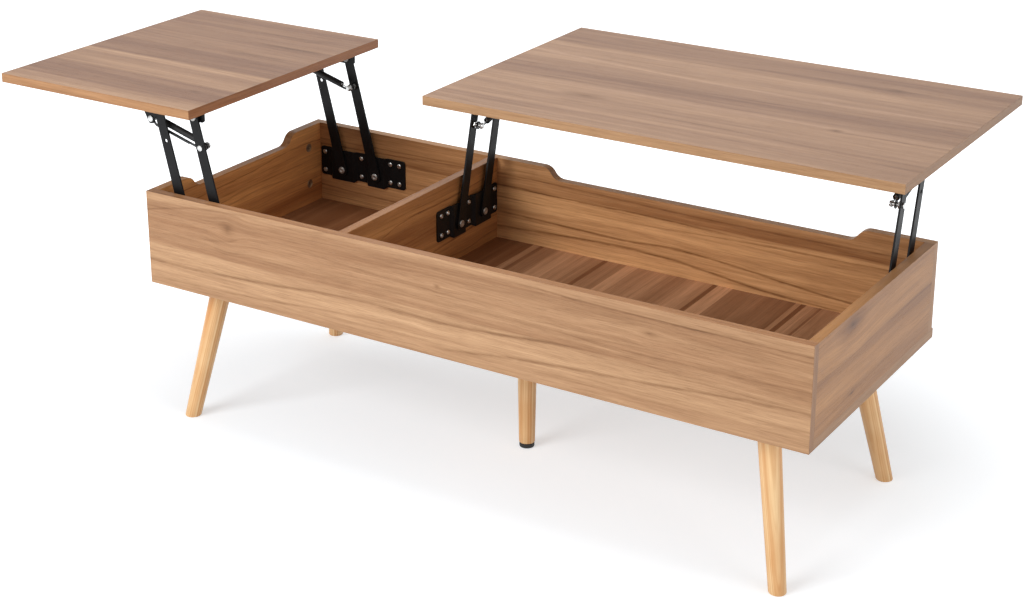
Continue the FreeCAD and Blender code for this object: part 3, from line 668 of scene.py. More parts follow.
def walnut_finishes() -> dict[str, WalnutFoil]:
    """The laminate of each board, by node name.

    Returns:
        Node name to finish.
    """
    large = WalnutFoil(
        name="walnut_large_top", lay=Lay.LEVEL, across_range=(0.50686, 0.00686),
        along_range=(-0.199, 0.600),
        bands_and_shade=(0, 30, 3, 75, 10, 85, 19.2, 72, 20.5, 20, 30, 28, 37, 12, 41, 42, 48, 70, 55, 88, 60.5, 80,
               62, 14, 70, 25, 80, 36, 90, 42, 100, 30),
        light=paint(167, 132, 104), dark=paint(128, 95, 74), edge=paint(193, 149, 106),
        # Painted shade: the large top's end strips are far darker than its long edges.
        end_edge_and_shade=paint(131, 89, 50), contrast=0.80,
        marks=(
            Mark((0, 32.5, 20, 35.5, 35, 38, 50, 39.5, 100, 39.5), -0.32, 0.008),
            Mark((0, 30, 20, 33, 50, 36.5, 100, 37), 0.08, 0.003, (-0.2, 0.5)),
            Mark((0, 40.5, 50, 42.5, 100, 41.5), 0.09, 0.004, (0.2, 1.2)),
            Mark((0, 63.3, 100, 63.3), -0.20, 0.008),
            Mark((0, 64, 65, 64.8, 78, 65.7, 100, 65), 0.24, 0.0030, (0.6, 1.2)),
            Mark((0, 79, 40, 80, 60, 81.5, 80, 83.5, 100, 84), 0.20, 0.006, (0.35, 1.2)),
            Mark((0, 92, 50, 93, 100, 91), 0.07, 0.003),
        ),
        # Painted light falloff: the large top darkens towards its right end.
        wave=0.006, tone_and_shade_along=(0, 52, 50, 50, 100, 43), line_depth=0.22,
        knots=(
            Knot(0.424, 0.182, 0.013, 0.60, 1.6), Knot(0.017, 0.144, 0.019, 0.50, 3.2),
            Knot(0.424, 0.427, 0.020, 0.28, 1.6),
        ),
        seed=2.4,
    )
    small = WalnutFoil(
        name="walnut_small_top", lay=Lay.LEVEL, across_range=(0.250, -0.250), along_range=(-0.857, -0.458),
        bands_and_shade=(0, 50, 3, 80, 10, 84, 16.5, 100, 19, 82, 29, 86, 30.5, 48, 36.2, 36, 37.8, 82, 48, 86, 58.5,
               84, 59.7, 12, 66, 32, 76, 36, 78.5, 80, 85, 94, 92, 90, 93.5, 40, 97, 30, 100, 20),
        light=paint(167, 131, 102), dark=paint(127, 93, 72), edge=paint(178, 127, 81),
        # Painted shade: the small top's end strips are darker than its long edges.
        end_edge_and_shade=paint(150, 96, 61), contrast=0.90,
        marks=(
            Mark((0, 60.5, 50, 61, 100, 63.5), -0.15, 0.005),
            Mark((0, 63.5, 50, 64, 100, 66.5), 0.12, 0.0035),
            Mark((0, 27, 100, 26.2), 0.32, 0.011, (0.6, 1.0)), Mark((0, 94.5, 100, 95), -0.10, 0.004),
        ),
        wave=0.007, line_depth=0.22, knots=(Knot(-0.518, -0.165, 0.010, 0.3, 2.0),), seed=9.1,
    )
    front = WalnutFoil(
        name="walnut_front_panel", lay=Lay.LONG, across_range=(0.395, 0.238), along_range=(-0.577, 0.577),
        bands_and_shade=(0, 22, 6, 22, 11, 50, 22, 64, 32, 64, 45, 52, 55.2, 50, 56.8, 12, 70, 8, 80, 20, 92, 34, 100,
               38),
        light=paint(195, 152, 113), dark=paint(153, 108, 73), edge=paint(152, 105, 67),
        end_edge_and_shade=paint(148, 106, 72), line_depth=0.24, contour_depth=0.12, wave=0.005,
        marks=(
            Mark((0, 73.5, 12, 73, 22, 69, 31, 64, 37, 62.5, 50, 63.5, 58, 61, 66, 56, 75, 53, 100, 50),
                 0.40, 0.0038, (-0.2, 0.74)),
            Mark((0, 100, 45, 93, 57, 84, 67, 77, 77, 73, 85, 68.5, 93, 64.5, 100, 63.5), 0.38, 0.0036,
                 (0.46, 1.2)),
            Mark((0, 93, 12, 90, 20, 87.5, 28, 83, 36, 80, 100, 78), 0.26, 0.0030, (-0.2, 0.42)),
            Mark((0, 8, 50, 6, 62, 6.5, 70, 9, 80, 10, 100, 11), 0.42, 0.0024, (0.56, 1.2)),
            Mark((0, 16, 100, 16), 0.34, 0.003, (0.90, 1.2)),
            Mark((0, 20, 5, 12, 12, 5, 100, 2), 0.26, 0.0026, (-0.2, 0.22)),
            Mark((0, 42, 13, 36, 18, 27, 25, 24, 33, 29, 45, 33, 100, 42), 0.18, 0.0028, (0.02, 0.6)),
            Mark((0, 50, 30, 47, 60, 44, 80, 46, 100, 43), 0.15, 0.0035, (0.1, 1.2)),
        ),
        knots=(
            Knot(-0.411, 0.360, 0.022, 0.42, 1.1), Knot(-0.017, 0.351, 0.007, 0.5, 1.6),
            Knot(0.335, 0.357, 0.010, 0.35, 2.4),
        ),
        seed=4.2,
    )
    back = WalnutFoil(
        name="walnut_back_panel", lay=Lay.LONG, across_range=(0.395, 0.253), along_range=(-0.577, 0.577),
        bands_and_shade=(0, 45, 20, 60, 32, 85, 36, 40, 50, 30, 64, 45, 70, 25, 80, 35, 86, 20, 100, 15),
        light=paint(213, 161, 110), dark=paint(151, 102, 62), edge=paint(172, 130, 90),
        end_edge_and_shade=paint(150, 108, 74), line_depth=0.28, contour_depth=0.22, contour_pitch=0.014,
        marks=(
            Mark((0, 36, 33, 33, 48, 34.5, 57, 34, 70, 37, 85, 42, 100, 45), 0.60, 0.0026, (0.28, 0.74)),
            Mark((0, 60, 33, 66, 48, 69, 55, 70, 62, 67.5, 70, 71, 78, 78, 88, 86, 100, 92), 0.58, 0.0030,
                 (0.25, 1.0)),
            Mark((0, 93, 33, 85, 42, 82, 50, 79, 60, 80, 68, 86, 75, 93, 85, 98, 100, 100), 0.60, 0.0034,
                 (0.25, 0.94)),
            Mark((0, 50, 45, 47, 60, 46, 72, 42, 90, 40, 100, 40), 0.30, 0.0022),
            Mark((0, 20, 40, 19, 70, 24, 100, 22), 0.32, 0.0022),
            Mark((0, 27, 12, 25, 33, 20, 100, 20), 0.40, 0.0018, (-0.2, 0.36)),
            Mark((0, 80, 15, 84, 33, 80, 100, 80), 0.45, 0.0022, (-0.2, 0.36)),
            Mark((0, 92, 15, 94, 33, 91, 100, 90), 0.35, 0.0018, (-0.2, 0.36)),
        ),
        # Painted shade: the back panel is darker along its part inside the small well.
        wave=0.008, tone_and_shade_along=(0, 40, 30, 42, 34, 50, 100, 48), seed=12.7,
    )
    crossways = dict(lay=Lay.CROSS, end_edge_and_shade=paint(146, 104, 72))
    inner = dict(across_range=(0.395, 0.253), along_range=(-0.212, 0.212), line_depth=0.28,
                 contour_depth=0.25, contour_pitch=0.012, **crossways)
    right = WalnutFoil(
        name="walnut_right_end", across_range=(0.395, 0.238), along_range=(-0.227, 0.227),
        bands_and_shade=(0, 30, 6, 45, 14, 55, 20, 30, 36, 35, 38, 72, 50, 66, 55, 40, 75, 35, 90, 60, 100, 70),
        light=paint(185, 133, 84), dark=paint(137, 91, 53), edge=paint(162, 116, 72), line_depth=0.20,
        contour_depth=0.12, contour_pitch=0.014, wave=0.006, contrast=0.85,
        marks=(
            Mark((0, 40, 40, 41, 80, 38.5, 100, 40), 0.24, 0.0035, (0.62, 1.2)),
            Mark((0, 26, 20, 30, 50, 27, 100, 22), 0.12, 0.002), Mark((0, 8, 50, 7, 100, 9), -0.10, 0.003),
            Mark((0, 82, 30, 78, 50, 76, 100, 68), 0.16, 0.0018), Mark((0, 95, 100, 93), 0.16, 0.0025),
        ),
        knots=(
            Knot(-0.098, 0.380, 0.030, 0.62, 2.4), Knot(-0.086, 0.272, 0.006, 0.4, 3.0),
        ),
        # The right end panel is darker towards its back end.
        tone_and_shade_along=(0, 53, 50, 50, 100, 46), seed=6.6, **crossways,
    )
    left = WalnutFoil(
        name="walnut_left_end",
        bands_and_shade=(0, 30, 25, 60, 45, 40, 65, 60, 82, 50, 85, 95, 100, 100),
        light=paint(234, 168, 102), dark=paint(167, 105, 58), edge=paint(162, 120, 82), wave=0.007,
        seed=31.9,
        marks=(
            Mark((0, 30, 22, 29, 40, 27.5, 55, 25.5, 75, 20.5, 90, 20, 100, 22), 0.45, 0.0018),
            Mark((0, 50, 36, 48, 50, 44, 70, 44, 100, 42), 0.28, 0.0024),
            Mark((0, 60, 40, 55, 60, 52, 80, 56, 100, 55), 0.25, 0.0018),
            Mark((0, 75, 50, 72, 100, 68), 0.22, 0.0016),
        ),
        **inner,
    )
    divider = WalnutFoil(
        name="walnut_divider",
        bands_and_shade=(0, 40, 20, 35, 30, 70, 50, 75, 66, 45, 75, 35, 100, 60),
        light=paint(191, 135, 82), dark=paint(138, 87, 48), edge=paint(150, 106, 72), wave=0.008, seed=15.2,
        marks=(
            Mark((0, 36, 22, 27, 30, 22, 45, 19, 60, 20, 100, 16), 0.40, 0.0018),
            Mark((0, 80, 50, 76, 60, 74, 75, 72, 85, 69, 100, 71), 0.50, 0.0022),
            Mark((0, 97, 68, 93, 80, 93, 90, 90, 100, 89), 0.40, 0.0020),
            Mark((0, 55, 50, 47, 100, 45), 0.22, 0.0018),
        ),
        **inner,
    )
    floor = WalnutFoil(
        name="walnut_bottom_board", lay=Lay.FLOOR, across_range=(-0.56, 0.56), along_range=(-0.212, 0.2326),
        # Painted shade: the first third of the bands, under the small top, is held dark for the small well;
        # the rest are the print's stripes.
        bands_and_shade=(0, 95, 9, 100, 17, 90, 25, 100, 33.3, 93, 39.3, 42, 40.5, 88, 41.3, 58, 44, 38, 45.3, 12,
               46.6, 40, 49.3, 62, 51.5, 90, 52.2, 60, 55.3, 14, 57.3, 46, 62.5, 56, 66, 38, 69.2, 85, 70.2,
               8, 72.6, 72, 77.5, 80, 82.2, 28, 82.9, 95, 83.7, 20, 84.8, 48, 85.7, 85, 86.3, 42, 90, 50,
               95, 20),
        light=paint(212, 162, 123), dark=paint(126, 79, 47), edge=paint(164, 120, 82),
        end_edge_and_shade=paint(156, 116, 80), crisp=True, line_depth=0.24, contour_depth=0.20, contour_pitch=0.012,
        wave=0.003, seed=21.3,
    )
    return {
        "large_top_panel": large, "small_top_panel": small, "front_panel": front, "back_panel": back,
        "left_end_panel": left, "right_end_panel": right, "divider": divider, "bottom_board": floor,
    }


class Shape:
    """Gathers the surface of one visible piece, in millimetres, and makes the object from it."""

    sides = 24
    wire_sides = 6
    lobes = 6
    sharp = math.radians(32.0)

    def __init__(self, name: str) -> None:
        """Start an empty surface."""
        self.name = name
        self.net = bmesh.new()

    def corner(self, place: Vector) -> bmesh.types.BMVert:
        """Add a point."""
        return self.net.verts.new(place * MM)

    def skin(self, loops: Sequence[Loop], caps: Sequence[int] = (0, -1)) -> None:
        """Join each closed loop of points to the next.

        Args:
            loops: Loops with the same number of points.
            caps: The loops that are filled in.
        """
        for low, high in zip(loops, loops[1:]):
            for k, point in enumerate(low):
                after = (k + 1) % len(low)
                self.net.faces.new((point, low[after], high[after], high[k]))
        for k in caps:
            self.net.faces.new(loops[k])

    def rounds(self, seat: Matrix, rings: Sequence[Ring]) -> list[Loop]:
        """Add the points of a turned surface.

        Args:
            seat: Where its axis starts; the axis is the seat's Z.
            rings: Its rings.

        Returns:
            The points of each ring.
        """
        loops = []
        for radius, height, *lobe in rings:
            loop = []
            for angle in circle(self.sides):
                wave = 1 + sum(lobe) * math.cos(self.lobes * angle)
                loop.append(self.corner(seat @ polar(angle, radius * wave, height)))
            loops.append(loop)
        return loops

    def turned(self, seat: Matrix, rings: Sequence[Ring]) -> None:
        """Add a turned piece with both its ends filled in."""
        self.skin(self.rounds(seat, rings))

    def tube(self, seat: Matrix, rings: Sequence[Ring]) -> None:
        """Add a turned piece whose rings go all the way round the profile of its wall."""
        loops = self.rounds(seat, rings)
        self.skin(loops + loops[:1], ())

    def wire(self, path: Sequence[Vector], radius: float) -> None:
        """Add a round wire.

        Args:
            path: Its centre line.
            radius: Its radius.
        """
        side = Vector((0.31, 0.52, 0.79))
        loops = []
        for k, spot in enumerate(path):
            heading = (path[min(k + 1, len(path) - 1)] - path[max(k - 1, 0)]).normalized()
            side = (side - heading * side.dot(heading)).normalized()
            other = heading.cross(side)
            loops.append([self.corner(spot + (side * math.cos(angle) + other * math.sin(angle)) * radius)
                          for angle in circle(self.wire_sides)])
        self.skin(loops)

    def plate(self, outline: Sequence[Vector], through: Vector) -> None:
        """Add a flat piece from its outline and its thickness as a step from the outline."""
        self.skin([[self.corner(spot + step) for spot in outline] for step in (Vector(), through)])

    def finish(self, finishes: Finishes, body: str, slot: str, *stands_for: str, ease: float = 0.0,
               origin: Optional[Matrix] = None) -> bpy.types.Object:
        """Make the object and hang it on its body.

        Args:
            finishes: Materials by slot name.
            body: The body that carries it.
            slot: The record's material slot, whose finish it has.
            stands_for: CAD nodes that it is shown in place of.
            ease: Radius of the eased edges in millimetres.
            origin: Its own axes in millimetres, for a finish that follows the piece.

        Returns:
            The object.
        """
        if ease:
            inner = [edge for edge in self.net.edges if edge.is_manifold]
            bmesh.ops.bevel(self.net, geom=[edge for edge in inner if edge.calc_face_angle() > self.sharp],
                            offset=ease * MM, segments=2, profile=0.5, affect="EDGES", clamp_overlap=True)
        bmesh.ops.recalc_face_normals(self.net, faces=self.net.faces)
        mesh = bpy.data.meshes.new(self.name)
        self.net.to_mesh(mesh)
        self.net.free()
        mesh.shade_smooth()
        mesh.set_sharp_from_angle(angle=self.sharp)
        mesh.materials.append(finishes[slot])
        made = stand(self.name, mesh)
        if origin is not None:
            own = origin.copy()
            own.translation *= MM
            mesh.transform(own.inverted())
            made.matrix_world = own
        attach(made, body)
        if stands_for:
            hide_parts(*stands_for)
        LOG.info("piece %s on %s, %d faces", self.name, body, len(mesh.polygons))
        return made


def seat_at(place: Vector, out: Vector, turn: float = 0.0) -> Matrix:
    """A seat with its Z axis along a direction.

    Args:
        place: Its place in millimetres.
        out: Where its Z axis points.
        turn: Turn about that axis in degrees.

    Returns:
        The seat's matrix.
    """
    facing = out.to_track_quat("Z", "Y").to_matrix().to_4x4()
    return Matrix.Translation(place) @ facing @ Matrix.Rotation(math.radians(turn), 4, "Z")


class Head(Enum):
    """How the head of a fixing is formed."""

    PAN = "domed, standing on its seat"
    SUNK = "flat, sunk into its seat"
    DRUM = "flat, as wide as the fixing"


@dataclass(frozen=True)
class Fixing:
    """A screw or cam with a cross recess; sizes in millimetres."""

    head: Head = Head.PAN
    radius: float = 4.2
    height: float = 1.8
    shank: float = 2.0
    length: float = 13.0
    sink: float = 2.4
    reach_share: float = 0.52
    half_share: float = 0.13
    depth: float = 1.1
    narrowing: float = 0.7

    def rings(self) -> list[Ring]:
        """The fixing's profile from its tip to the ring round its recess.

        Returns:
            The rings.
        """
        radius, length, shank = self.radius, self.length, self.shank
        if self.head is Head.DRUM:
            return [(radius, -length), (radius, -0.4), (radius - 0.4, 0.0), (radius * 0.82, 0.0),
                    (radius * 0.78, -0.5), (radius * 0.62, -0.5)]
        tip = [(0.5, -length), (shank, shank - length)]
        if self.head is Head.SUNK:
            return tip + [(shank, -self.sink), (radius, -0.2), (radius * 0.97, 0.0), (radius * 0.62, 0.0)]
        dome = ((1.0, 0.0), (1.0, 0.28), (0.965, 0.60), (0.87, 0.83), (0.74, 0.95), (0.62, 1.0))
        return tip + [(shank, 0.0)] + [(radius * out, self.height * up) for out, up in dome]

    def add(self, shape: Shape, seat: Matrix) -> None:
        """Add one fixing to a piece, with the cross-shaped recess inside its last ring of 24 points.

        Args:
            shape: The piece.
            seat: Its seat; Z points out of the head.
        """
        rings = self.rings()
        loops = shape.rounds(seat, rings)
        shape.skin(loops, (0,))
        rim, height = loops[-1], rings[-1][1]
        reach, half = self.radius * self.reach_share, self.radius * self.half_share
        mouth, floor = [], []
        for quarter in circle(4):
            turned = seat @ Matrix.Rotation(quarter, 4, "Z")
            for x, y in ((reach, -half), (reach, half), (half, half)):
                mouth.append(shape.corner(turned @ Vector((x, y, height))))
                lower = Vector((x * self.narrowing, y * self.narrowing, height - self.depth))
                floor.append(shape.corner(turned @ lower))
        for quarter in range(4):
            ring = [rim[(quarter * 6 + k) % 24] for k in range(7)]
            end, side, crotch, after = (mouth[(quarter * 3 + k) % 12] for k in range(4))
            for face in ((end, ring[0], side), (side, ring[0], ring[1]), (side, ring[1], ring[2], crotch),
                         (crotch, ring[2], ring[3], ring[4]), (crotch, ring[4], ring[5], after),
                         (after, ring[5], ring[6])):
                shape.net.faces.new(face)
        shape.skin([mouth, floor], ())
        centre = shape.corner(seat @ Vector((0.0, 0.0, height - self.depth * 1.25)))
        for k, point in enumerate(floor):
            shape.net.faces.new((point, floor[(k + 1) % 12], centre))

    def add_all(self, shape: Shape, seats: Sequence[Sequence[Vector]], turn: float, start: int = 1) -> None:
        """Add fixings to a piece, each turned further than the last.

        Args:
            shape: The piece.
            seats: Their places and the ways that they face.
            turn: Turn from one to the next in degrees.
            start: How many such turns the first one has.
        """
        for k, (place, out) in enumerate(seats, start):
            self.add(shape, seat_at(place, out, turn * k))


@dataclass(frozen=True)
class Wall:
    """One wall that carries a mechanism: its corner and its directions along and away from it."""

    name: str
    corner: Vector
    u: Vector
    n: Vector

    def at(self, u: float, n: float, z: float) -> Vector:
        """A point by its place along the wall, its distance from it and its height."""
        return self.corner + self.u * u + self.n * n + UP * z


@dataclass
class LiftMechanism:
    """The pair of lift arms, rails and sprung stays under one top; sizes in millimetres."""

    side: str
    walls: tuple[Wall, Wall]
    finishes: Finishes
    pivot_places: Pair = (53.4, 124.7)
    pivot_height: float = 318.0
    rail_shift: float = -52.01
    rail_height: float = 526.61
    arm_far: float = 10.0
    arm_near: float = 7.0
    rail_near: float = 12.6
    rail_far: float = 15.1
    clear: float = 0.3
    land: float = 4.6
    plate: float = 2.0
    rivet: float = 4.0
    rivet_turn: float = 23.0
    head: float = 6.2
    head_rise: float = 2.0
    tail: float = 5.8
    tail_rise: float = 1.6
    shoulder: float = 6.0
    pin_place: Pair = (-20.61, 507.61)
    bolt_place: Pair = (84.90, 477.61)
    spring_plane: float = 24.2
    eye: float = 4.7
    wire: float = 0.95
    coil: float = 3.6
    coil_gap: Pair = (8.5, 16.2)
    coil_pitch: float = 2.0
    coil_points: int = 12
    swell_points: int = 8
    sleeve_gap: Pair = (10.5, 15.2)
    sleeve_outer: float = 5.4
    sleeve_inner: float = 3.9
    sleeve_rings: int = 16
    sleeve_dent: float = 0.06
    sleeve_beat: float = 2.4
    strip_planes: Pair = (15.4, 17.2)
    strip_steel: float = 1.5
    strip_height: float = 3.6
    strip_sag: float = 7.5
    strip_neck: float = 12.0
    strip_reach: float = 0.74
    strip_eye: float = 6.6
    strip_bore: float = 3.7
    squash_way: Pair = (0.873, -0.487)
    squash_keep: float = 0.353
    plate_screw_places: Row = (11.9, 91.1, 153.2, 171.9)
    plate_screw_heights: Pair = (343.7, 310.4)
    rail_ends: Pair = (-56.61, 90.69)
    rail_screw_inset: float = 9.0
    rail_screw_count: int = 4
    rail_screw_line: float = 25.85
    rail_screw: Fixing = Fixing(length=12.0)
    rail_seat: float = 536.11

    def build(self) -> None:
        """Make the pieces of both walls."""
        self.make_rail_screws()
        self.make_rail_rivets()
        self.make_springs()
        self.make_sleeves()
        self.make_strips()

    @property
    def top(self) -> str:
        """The body of this top."""
        return f"{self.side}_top"

    def shape(self, name: str) -> Shape:
        """Start a piece of this side."""
        return Shape(f"{self.side}_{name}")

    def stay(self, wall: Wall, n: float) -> tuple[Vector, Vector, float]:
        """The line of the stay in one plane.

        Args:
            wall: The wall.
            n: Distance from it.

        Returns:
            The pin's place, the direction to the bolt and the distance between them.
        """
        pin, bolt = (wall.at(u, n, z) for u, z in (self.pin_place, self.bolt_place))
        return pin, (bolt - pin).normalized(), (bolt - pin).length

    def shrink(self, piece: bpy.types.Object) -> None:
        """Give a piece of the stay its own mesh; its squash anchor and direction are worked out but not used.
        """
        wall = self.walls[0]
        anchor = wall.at(self.pin_place[0], self.spring_plane, self.pin_place[1]) * MM
        way = wall.u * self.squash_way[0] + UP * self.squash_way[1]
        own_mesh(piece)

    def make_rail_screws(self) -> None:
        """The screws that hold the rails to the top."""
        shape = self.shape("rail_cross_screws")
        first, last = self.rail_ends[0] + self.rail_screw_inset, self.rail_ends[1] - self.rail_screw_inset
        step = (last - first) / (self.rail_screw_count - 1)
        for wall in self.walls:
            places = [first + step * k for k in range(self.rail_screw_count)]
            seats = [(wall.at(place, self.rail_screw_line, self.rail_seat), -UP) for place in places]
            self.rail_screw.add_all(shape, seats, turn=31.0, start=0)
        shape.finish(self.finishes, self.top, "black_screws", f"{self.side}_rail_screws")

    def make_rail_rivets(self) -> None:
        """The shouldered pivot rivets in the rails."""
        shape = self.shape("rail_pivot_rivets")
        near, far = self.arm_near - self.clear, self.arm_far + self.clear
        inner = self.rail_far + self.tail_rise
        rings = [(radius, near - height, *lobe) for radius, height, *lobe in reversed(self.head_profile())]
        rings += [(self.rivet, near), (self.rivet, far), (self.shoulder, far),
                  (self.shoulder, self.rail_near), (self.rivet, self.rail_near),
                  (self.rivet, self.rail_far), (self.tail, self.rail_far),
                  (self.tail, inner - 0.5), (self.tail - 0.5, inner), (2.6, inner, 0.06),
                  (1.9, inner - 0.45, 0.18), (0.6, inner - 0.6, 0.1)]
        for wall, (k, place) in product(self.walls, enumerate(self.pivot_places)):
            pivot = wall.at(place + self.rail_shift, 0.0, self.rail_height)
            shape.turned(seat_at(pivot, wall.n, self.rivet_turn * k), rings)
        shape.finish(self.finishes, self.top, "rivet_steel", f"{self.side}_rail_rivets")

    def head_profile(self) -> list[Ring]:
        """A rivet's domed head with its punched centre, from the seat inwards.

        Returns:
            Rings with heights above the seat.
        """
        head, rise = self.head, self.head_rise
        return [(head, 0.0), (head, rise * 0.35), (head * 0.94, rise * 0.68), (head * 0.8, rise * 0.88),
                (head * 0.6, rise), (2.9, rise, 0.05), (2.1, rise - 0.35, 0.20), (1.1, rise - 0.7, 0.25),
                (0.4, rise - 0.8)]

    def make_springs(self) -> None:
        """The close-wound springs, with an eye on each pin and bolt."""
        coils, pin_eyes = self.shape("coil_springs"), self.shape("spring_pin_eyes")
        ring = [(self.eye + self.wire * math.cos(angle), self.wire * math.sin(angle)) for angle in circle(8)]
        for wall in self.walls:
            pin, along, length = self.stay(wall, self.spring_plane)
            side = along.cross(wall.n).normalized()
            wound = length - sum(self.coil_gap)
            steps = round(wound / self.coil_pitch) * self.coil_points
            path = [pin + along * (self.eye - self.wire)]
            for k in range(steps + 1):
                swell = min(1.0, k / self.swell_points, (steps - k) / self.swell_points)
                angle = math.tau * k / self.coil_points
                out = (wall.n * math.cos(angle) + side * math.sin(angle)) * (self.coil - self.wire)
                path.append(pin + along * (self.coil_gap[0] + wound * k / steps) + out * swell)
            coils.wire([*path, pin + along * (length - self.eye)], self.wire)
            pin_eyes.tube(seat_at(pin, wall.n), ring)
            bolt_eye = Shape(f"{wall.name}_spring_bolt_eye")
            bolt_eye.tube(seat_at(pin + along * length, wall.n), ring)
            bolt_eye.finish(self.finishes, f"{wall.name}_trail_arm", "spring_steel")
        self.shrink(coils.finish(self.finishes, self.top, "spring_steel", f"{self.side}_lift_springs"))
        pin_eyes.finish(self.finishes, self.top, "spring_steel")

    def make_sleeves(self) -> None:
        """The rubber sleeves over the springs."""
        shape = self.shape("rubber_sleeves")
        outer, inner = self.sleeve_outer, self.sleeve_inner
        for wall in self.walls:
            pin, along, length = self.stay(wall, self.spring_plane)
            start, end = self.sleeve_gap[0], length - self.sleeve_gap[1]
            run = (end - start - 2.0) / self.sleeve_rings
            stations = [start + 1.0 + run * k for k in range(self.sleeve_rings + 1)]
            skin = [(outer - self.sleeve_dent * (1 - math.cos(self.sleeve_beat * k)), spot)
                    for k, spot in enumerate(stations)]
            lips = [((outer + inner) / 2, start), (outer - 0.25, start + 0.3), (outer - 0.25, end - 0.3),
                    ((outer + inner) / 2, end)]
            core = [(inner, spot) for spot in reversed(stations[::4])]
            shape.tube(seat_at(pin, along), lips[:2] + skin + lips[2:] + core)
        self.shrink(shape.finish(self.finishes, self.top, "black_rubber", f"{self.side}_spring_sleeves"))

    def make_strips(self) -> None:
        """The flat guide strips beside the springs, one from the pin and one from the bolt."""
        strips, pin_eyes = self.shape("guide_strips"), self.shape("guide_pin_eyes")
        steel, eye, bore = self.strip_steel, self.strip_eye, self.strip_bore
        ring = [(eye - 0.2, 0.0), (eye, 0.2), (eye, steel - 0.2), (eye - 0.2, steel), (bore, steel),
                (bore, 0.0)]
        for wall, (plane, way) in product(self.walls, zip(self.strip_planes, (1, -1))):
            pin, along, length = self.stay(wall, plane)
            down = wall.n.cross(along)
            if down.z > 0:
                down = -down
            start = pin if way > 0 else pin + along * length
            outline = [start + along * run * way + down * drop for run, drop in self.strip_outline(length)]
            strips.plate(outline, wall.n * steel)
            if way > 0:
                pin_eyes.tube(seat_at(start, wall.n), ring)
            else:
                bolt_eye = Shape(f"{wall.name}_guide_bolt_eye")
                bolt_eye.tube(seat_at(start, wall.n), ring)
                bolt_eye.finish(self.finishes, f"{wall.name}_trail_arm", "black_plastic")
        wires = f"{self.side}_guide_wires"
        self.shrink(strips.finish(self.finishes, self.top, "black_plastic", wires, ease=0.2))
        pin_eyes.finish(self.finishes, self.top, "black_plastic")

    def strip_outline(self, length: float) -> list[Pair]:
        """Outline of a guide strip as distances along the stay and below it, clear of its eye's bore.

        Args:
            length: Distance from pin to bolt.

        Returns:
            The points, round the strip.
        """
        high, low = self.strip_sag - self.strip_height / 2, self.strip_sag + self.strip_height / 2
        neck, reach = self.strip_neck, length * self.strip_reach
        upper = [(5.3, 1.7), (6.4, 2.1), (neck - 2.6, 4.6), (neck - 0.8, high - 0.3), (neck + 1.5, high)]
        tip = [(reach - 1.2, high), (reach - 0.3, high + 0.5), (reach, high + 1.4), (reach, low - 1.4),
               (reach - 0.3, low - 0.5), (reach - 1.2, low)]
        return upper + tip + [(neck - 0.2, low), (neck - 2.4, low - 0.4), (neck - 4.2, low - 1.4), (4.0, 5.4),
                              (2.6, 4.3), (3.2, 2.6)]


@dataclass
class Cabinet:
    """The box of the table: its boards, cam locks, pivots and screws; sizes in millimetres."""

    walls: tuple[Wall, ...]
    lift: LiftMechanism
    finishes: Finishes
    plate_screw: Fixing = Fixing()
    cam: Fixing = Fixing(head=Head.DRUM, radius=7.5, length=12.5, depth=2.2, reach_share=0.46,
                         half_share=0.12)
    board_screw: Fixing = Fixing(head=Head.SUNK, length=40.0)
    rivet_turn: float = 41.0
    cam_heights: Pair = (357.0, 290.0)
    cam_rows: Pair = (-178.0, 178.0)
    cam_faces: tuple[Pair, ...] = ((-562.0, 1.0), (562.0, -1.0), (-205.0, -1.0))
    underside: float = 238.0
    screw_columns: Row = (-569.5, -197.5, 569.5)
    screw_rows: Row = (-150.0, 0.0, 150.0)
    edge_screws: Row = (-400.0, 0.0, 400.0)
    edge_rows: Row = (-219.5, 219.5)

    def build(self) -> None:
        """Dress the boards and make the fixings."""
        for node, foil in walnut_finishes().items():
            dress(node, foil.build())
        self.make_plate_screws()
        self.make_base_rivets()
        self.make_cams()
        self.make_board_screws()

    def make_plate_screws(self) -> None:
        """The screws of the hinge plates."""
        shape = Shape("hinge_plate_cross_screws")
        spots = product(self.walls, self.lift.plate_screw_places, self.lift.plate_screw_heights)
        seats = [(wall.at(u, self.lift.plate, z), wall.n) for wall, u, z in spots]
        self.plate_screw.add_all(shape, seats, turn=37.0)
        shape.finish(self.finishes, "table_frame", "plated_steel", "hinge_plate_screws")

    def make_base_rivets(self) -> None:
        """The pivot rivets in the hinge plates."""
        lift = self.lift
        shape = Shape("base_pivot_heads")
        near, far = lift.land - lift.tail_rise, lift.arm_far + lift.clear
        rings = [(lift.tail - 0.4, near), (lift.tail, near + 0.4), (lift.tail, lift.land),
                 (lift.rivet, lift.land), (lift.rivet, far)]
        rings += [(radius, far + height, *lobe) for radius, height, *lobe in lift.head_profile()]
        for wall, (k, place) in product(self.walls, enumerate(lift.pivot_places)):
            shape.turned(seat_at(wall.at(place, 0.0, lift.pivot_height), wall.n, self.rivet_turn * k), rings)
        shape.finish(self.finishes, "table_frame", "rivet_steel", "base_pivot_rivets")

    def make_cams(self) -> None:
        """The cam locks that pull the panels together."""
        shape = Shape("cross_slot_cams")
        spots = product(self.cam_faces, self.cam_rows, self.cam_heights)
        seats = [(Vector((x, y, z)), Vector((way, 0.0, 0.0))) for (x, way), y, z in spots]
        self.cam.add_all(shape, seats, turn=29.0)
        shape.finish(self.finishes, "table_frame", "zinc_cam", "cam_locks")

    def make_board_screws(self) -> None:
        """The sunk screws up through the bottom board."""
        shape = Shape("sunk_board_screws")
        spots = [*product(self.screw_columns, self.screw_rows), *product(self.edge_screws, self.edge_rows)]
        seats = [(Vector((x, y, self.underside)), -UP) for x, y in spots]
        self.board_screw.add_all(shape, seats, turn=17.0, start=0)
        shape.finish(self.finishes, "table_frame", "black_screws", "bottom_board_screws")


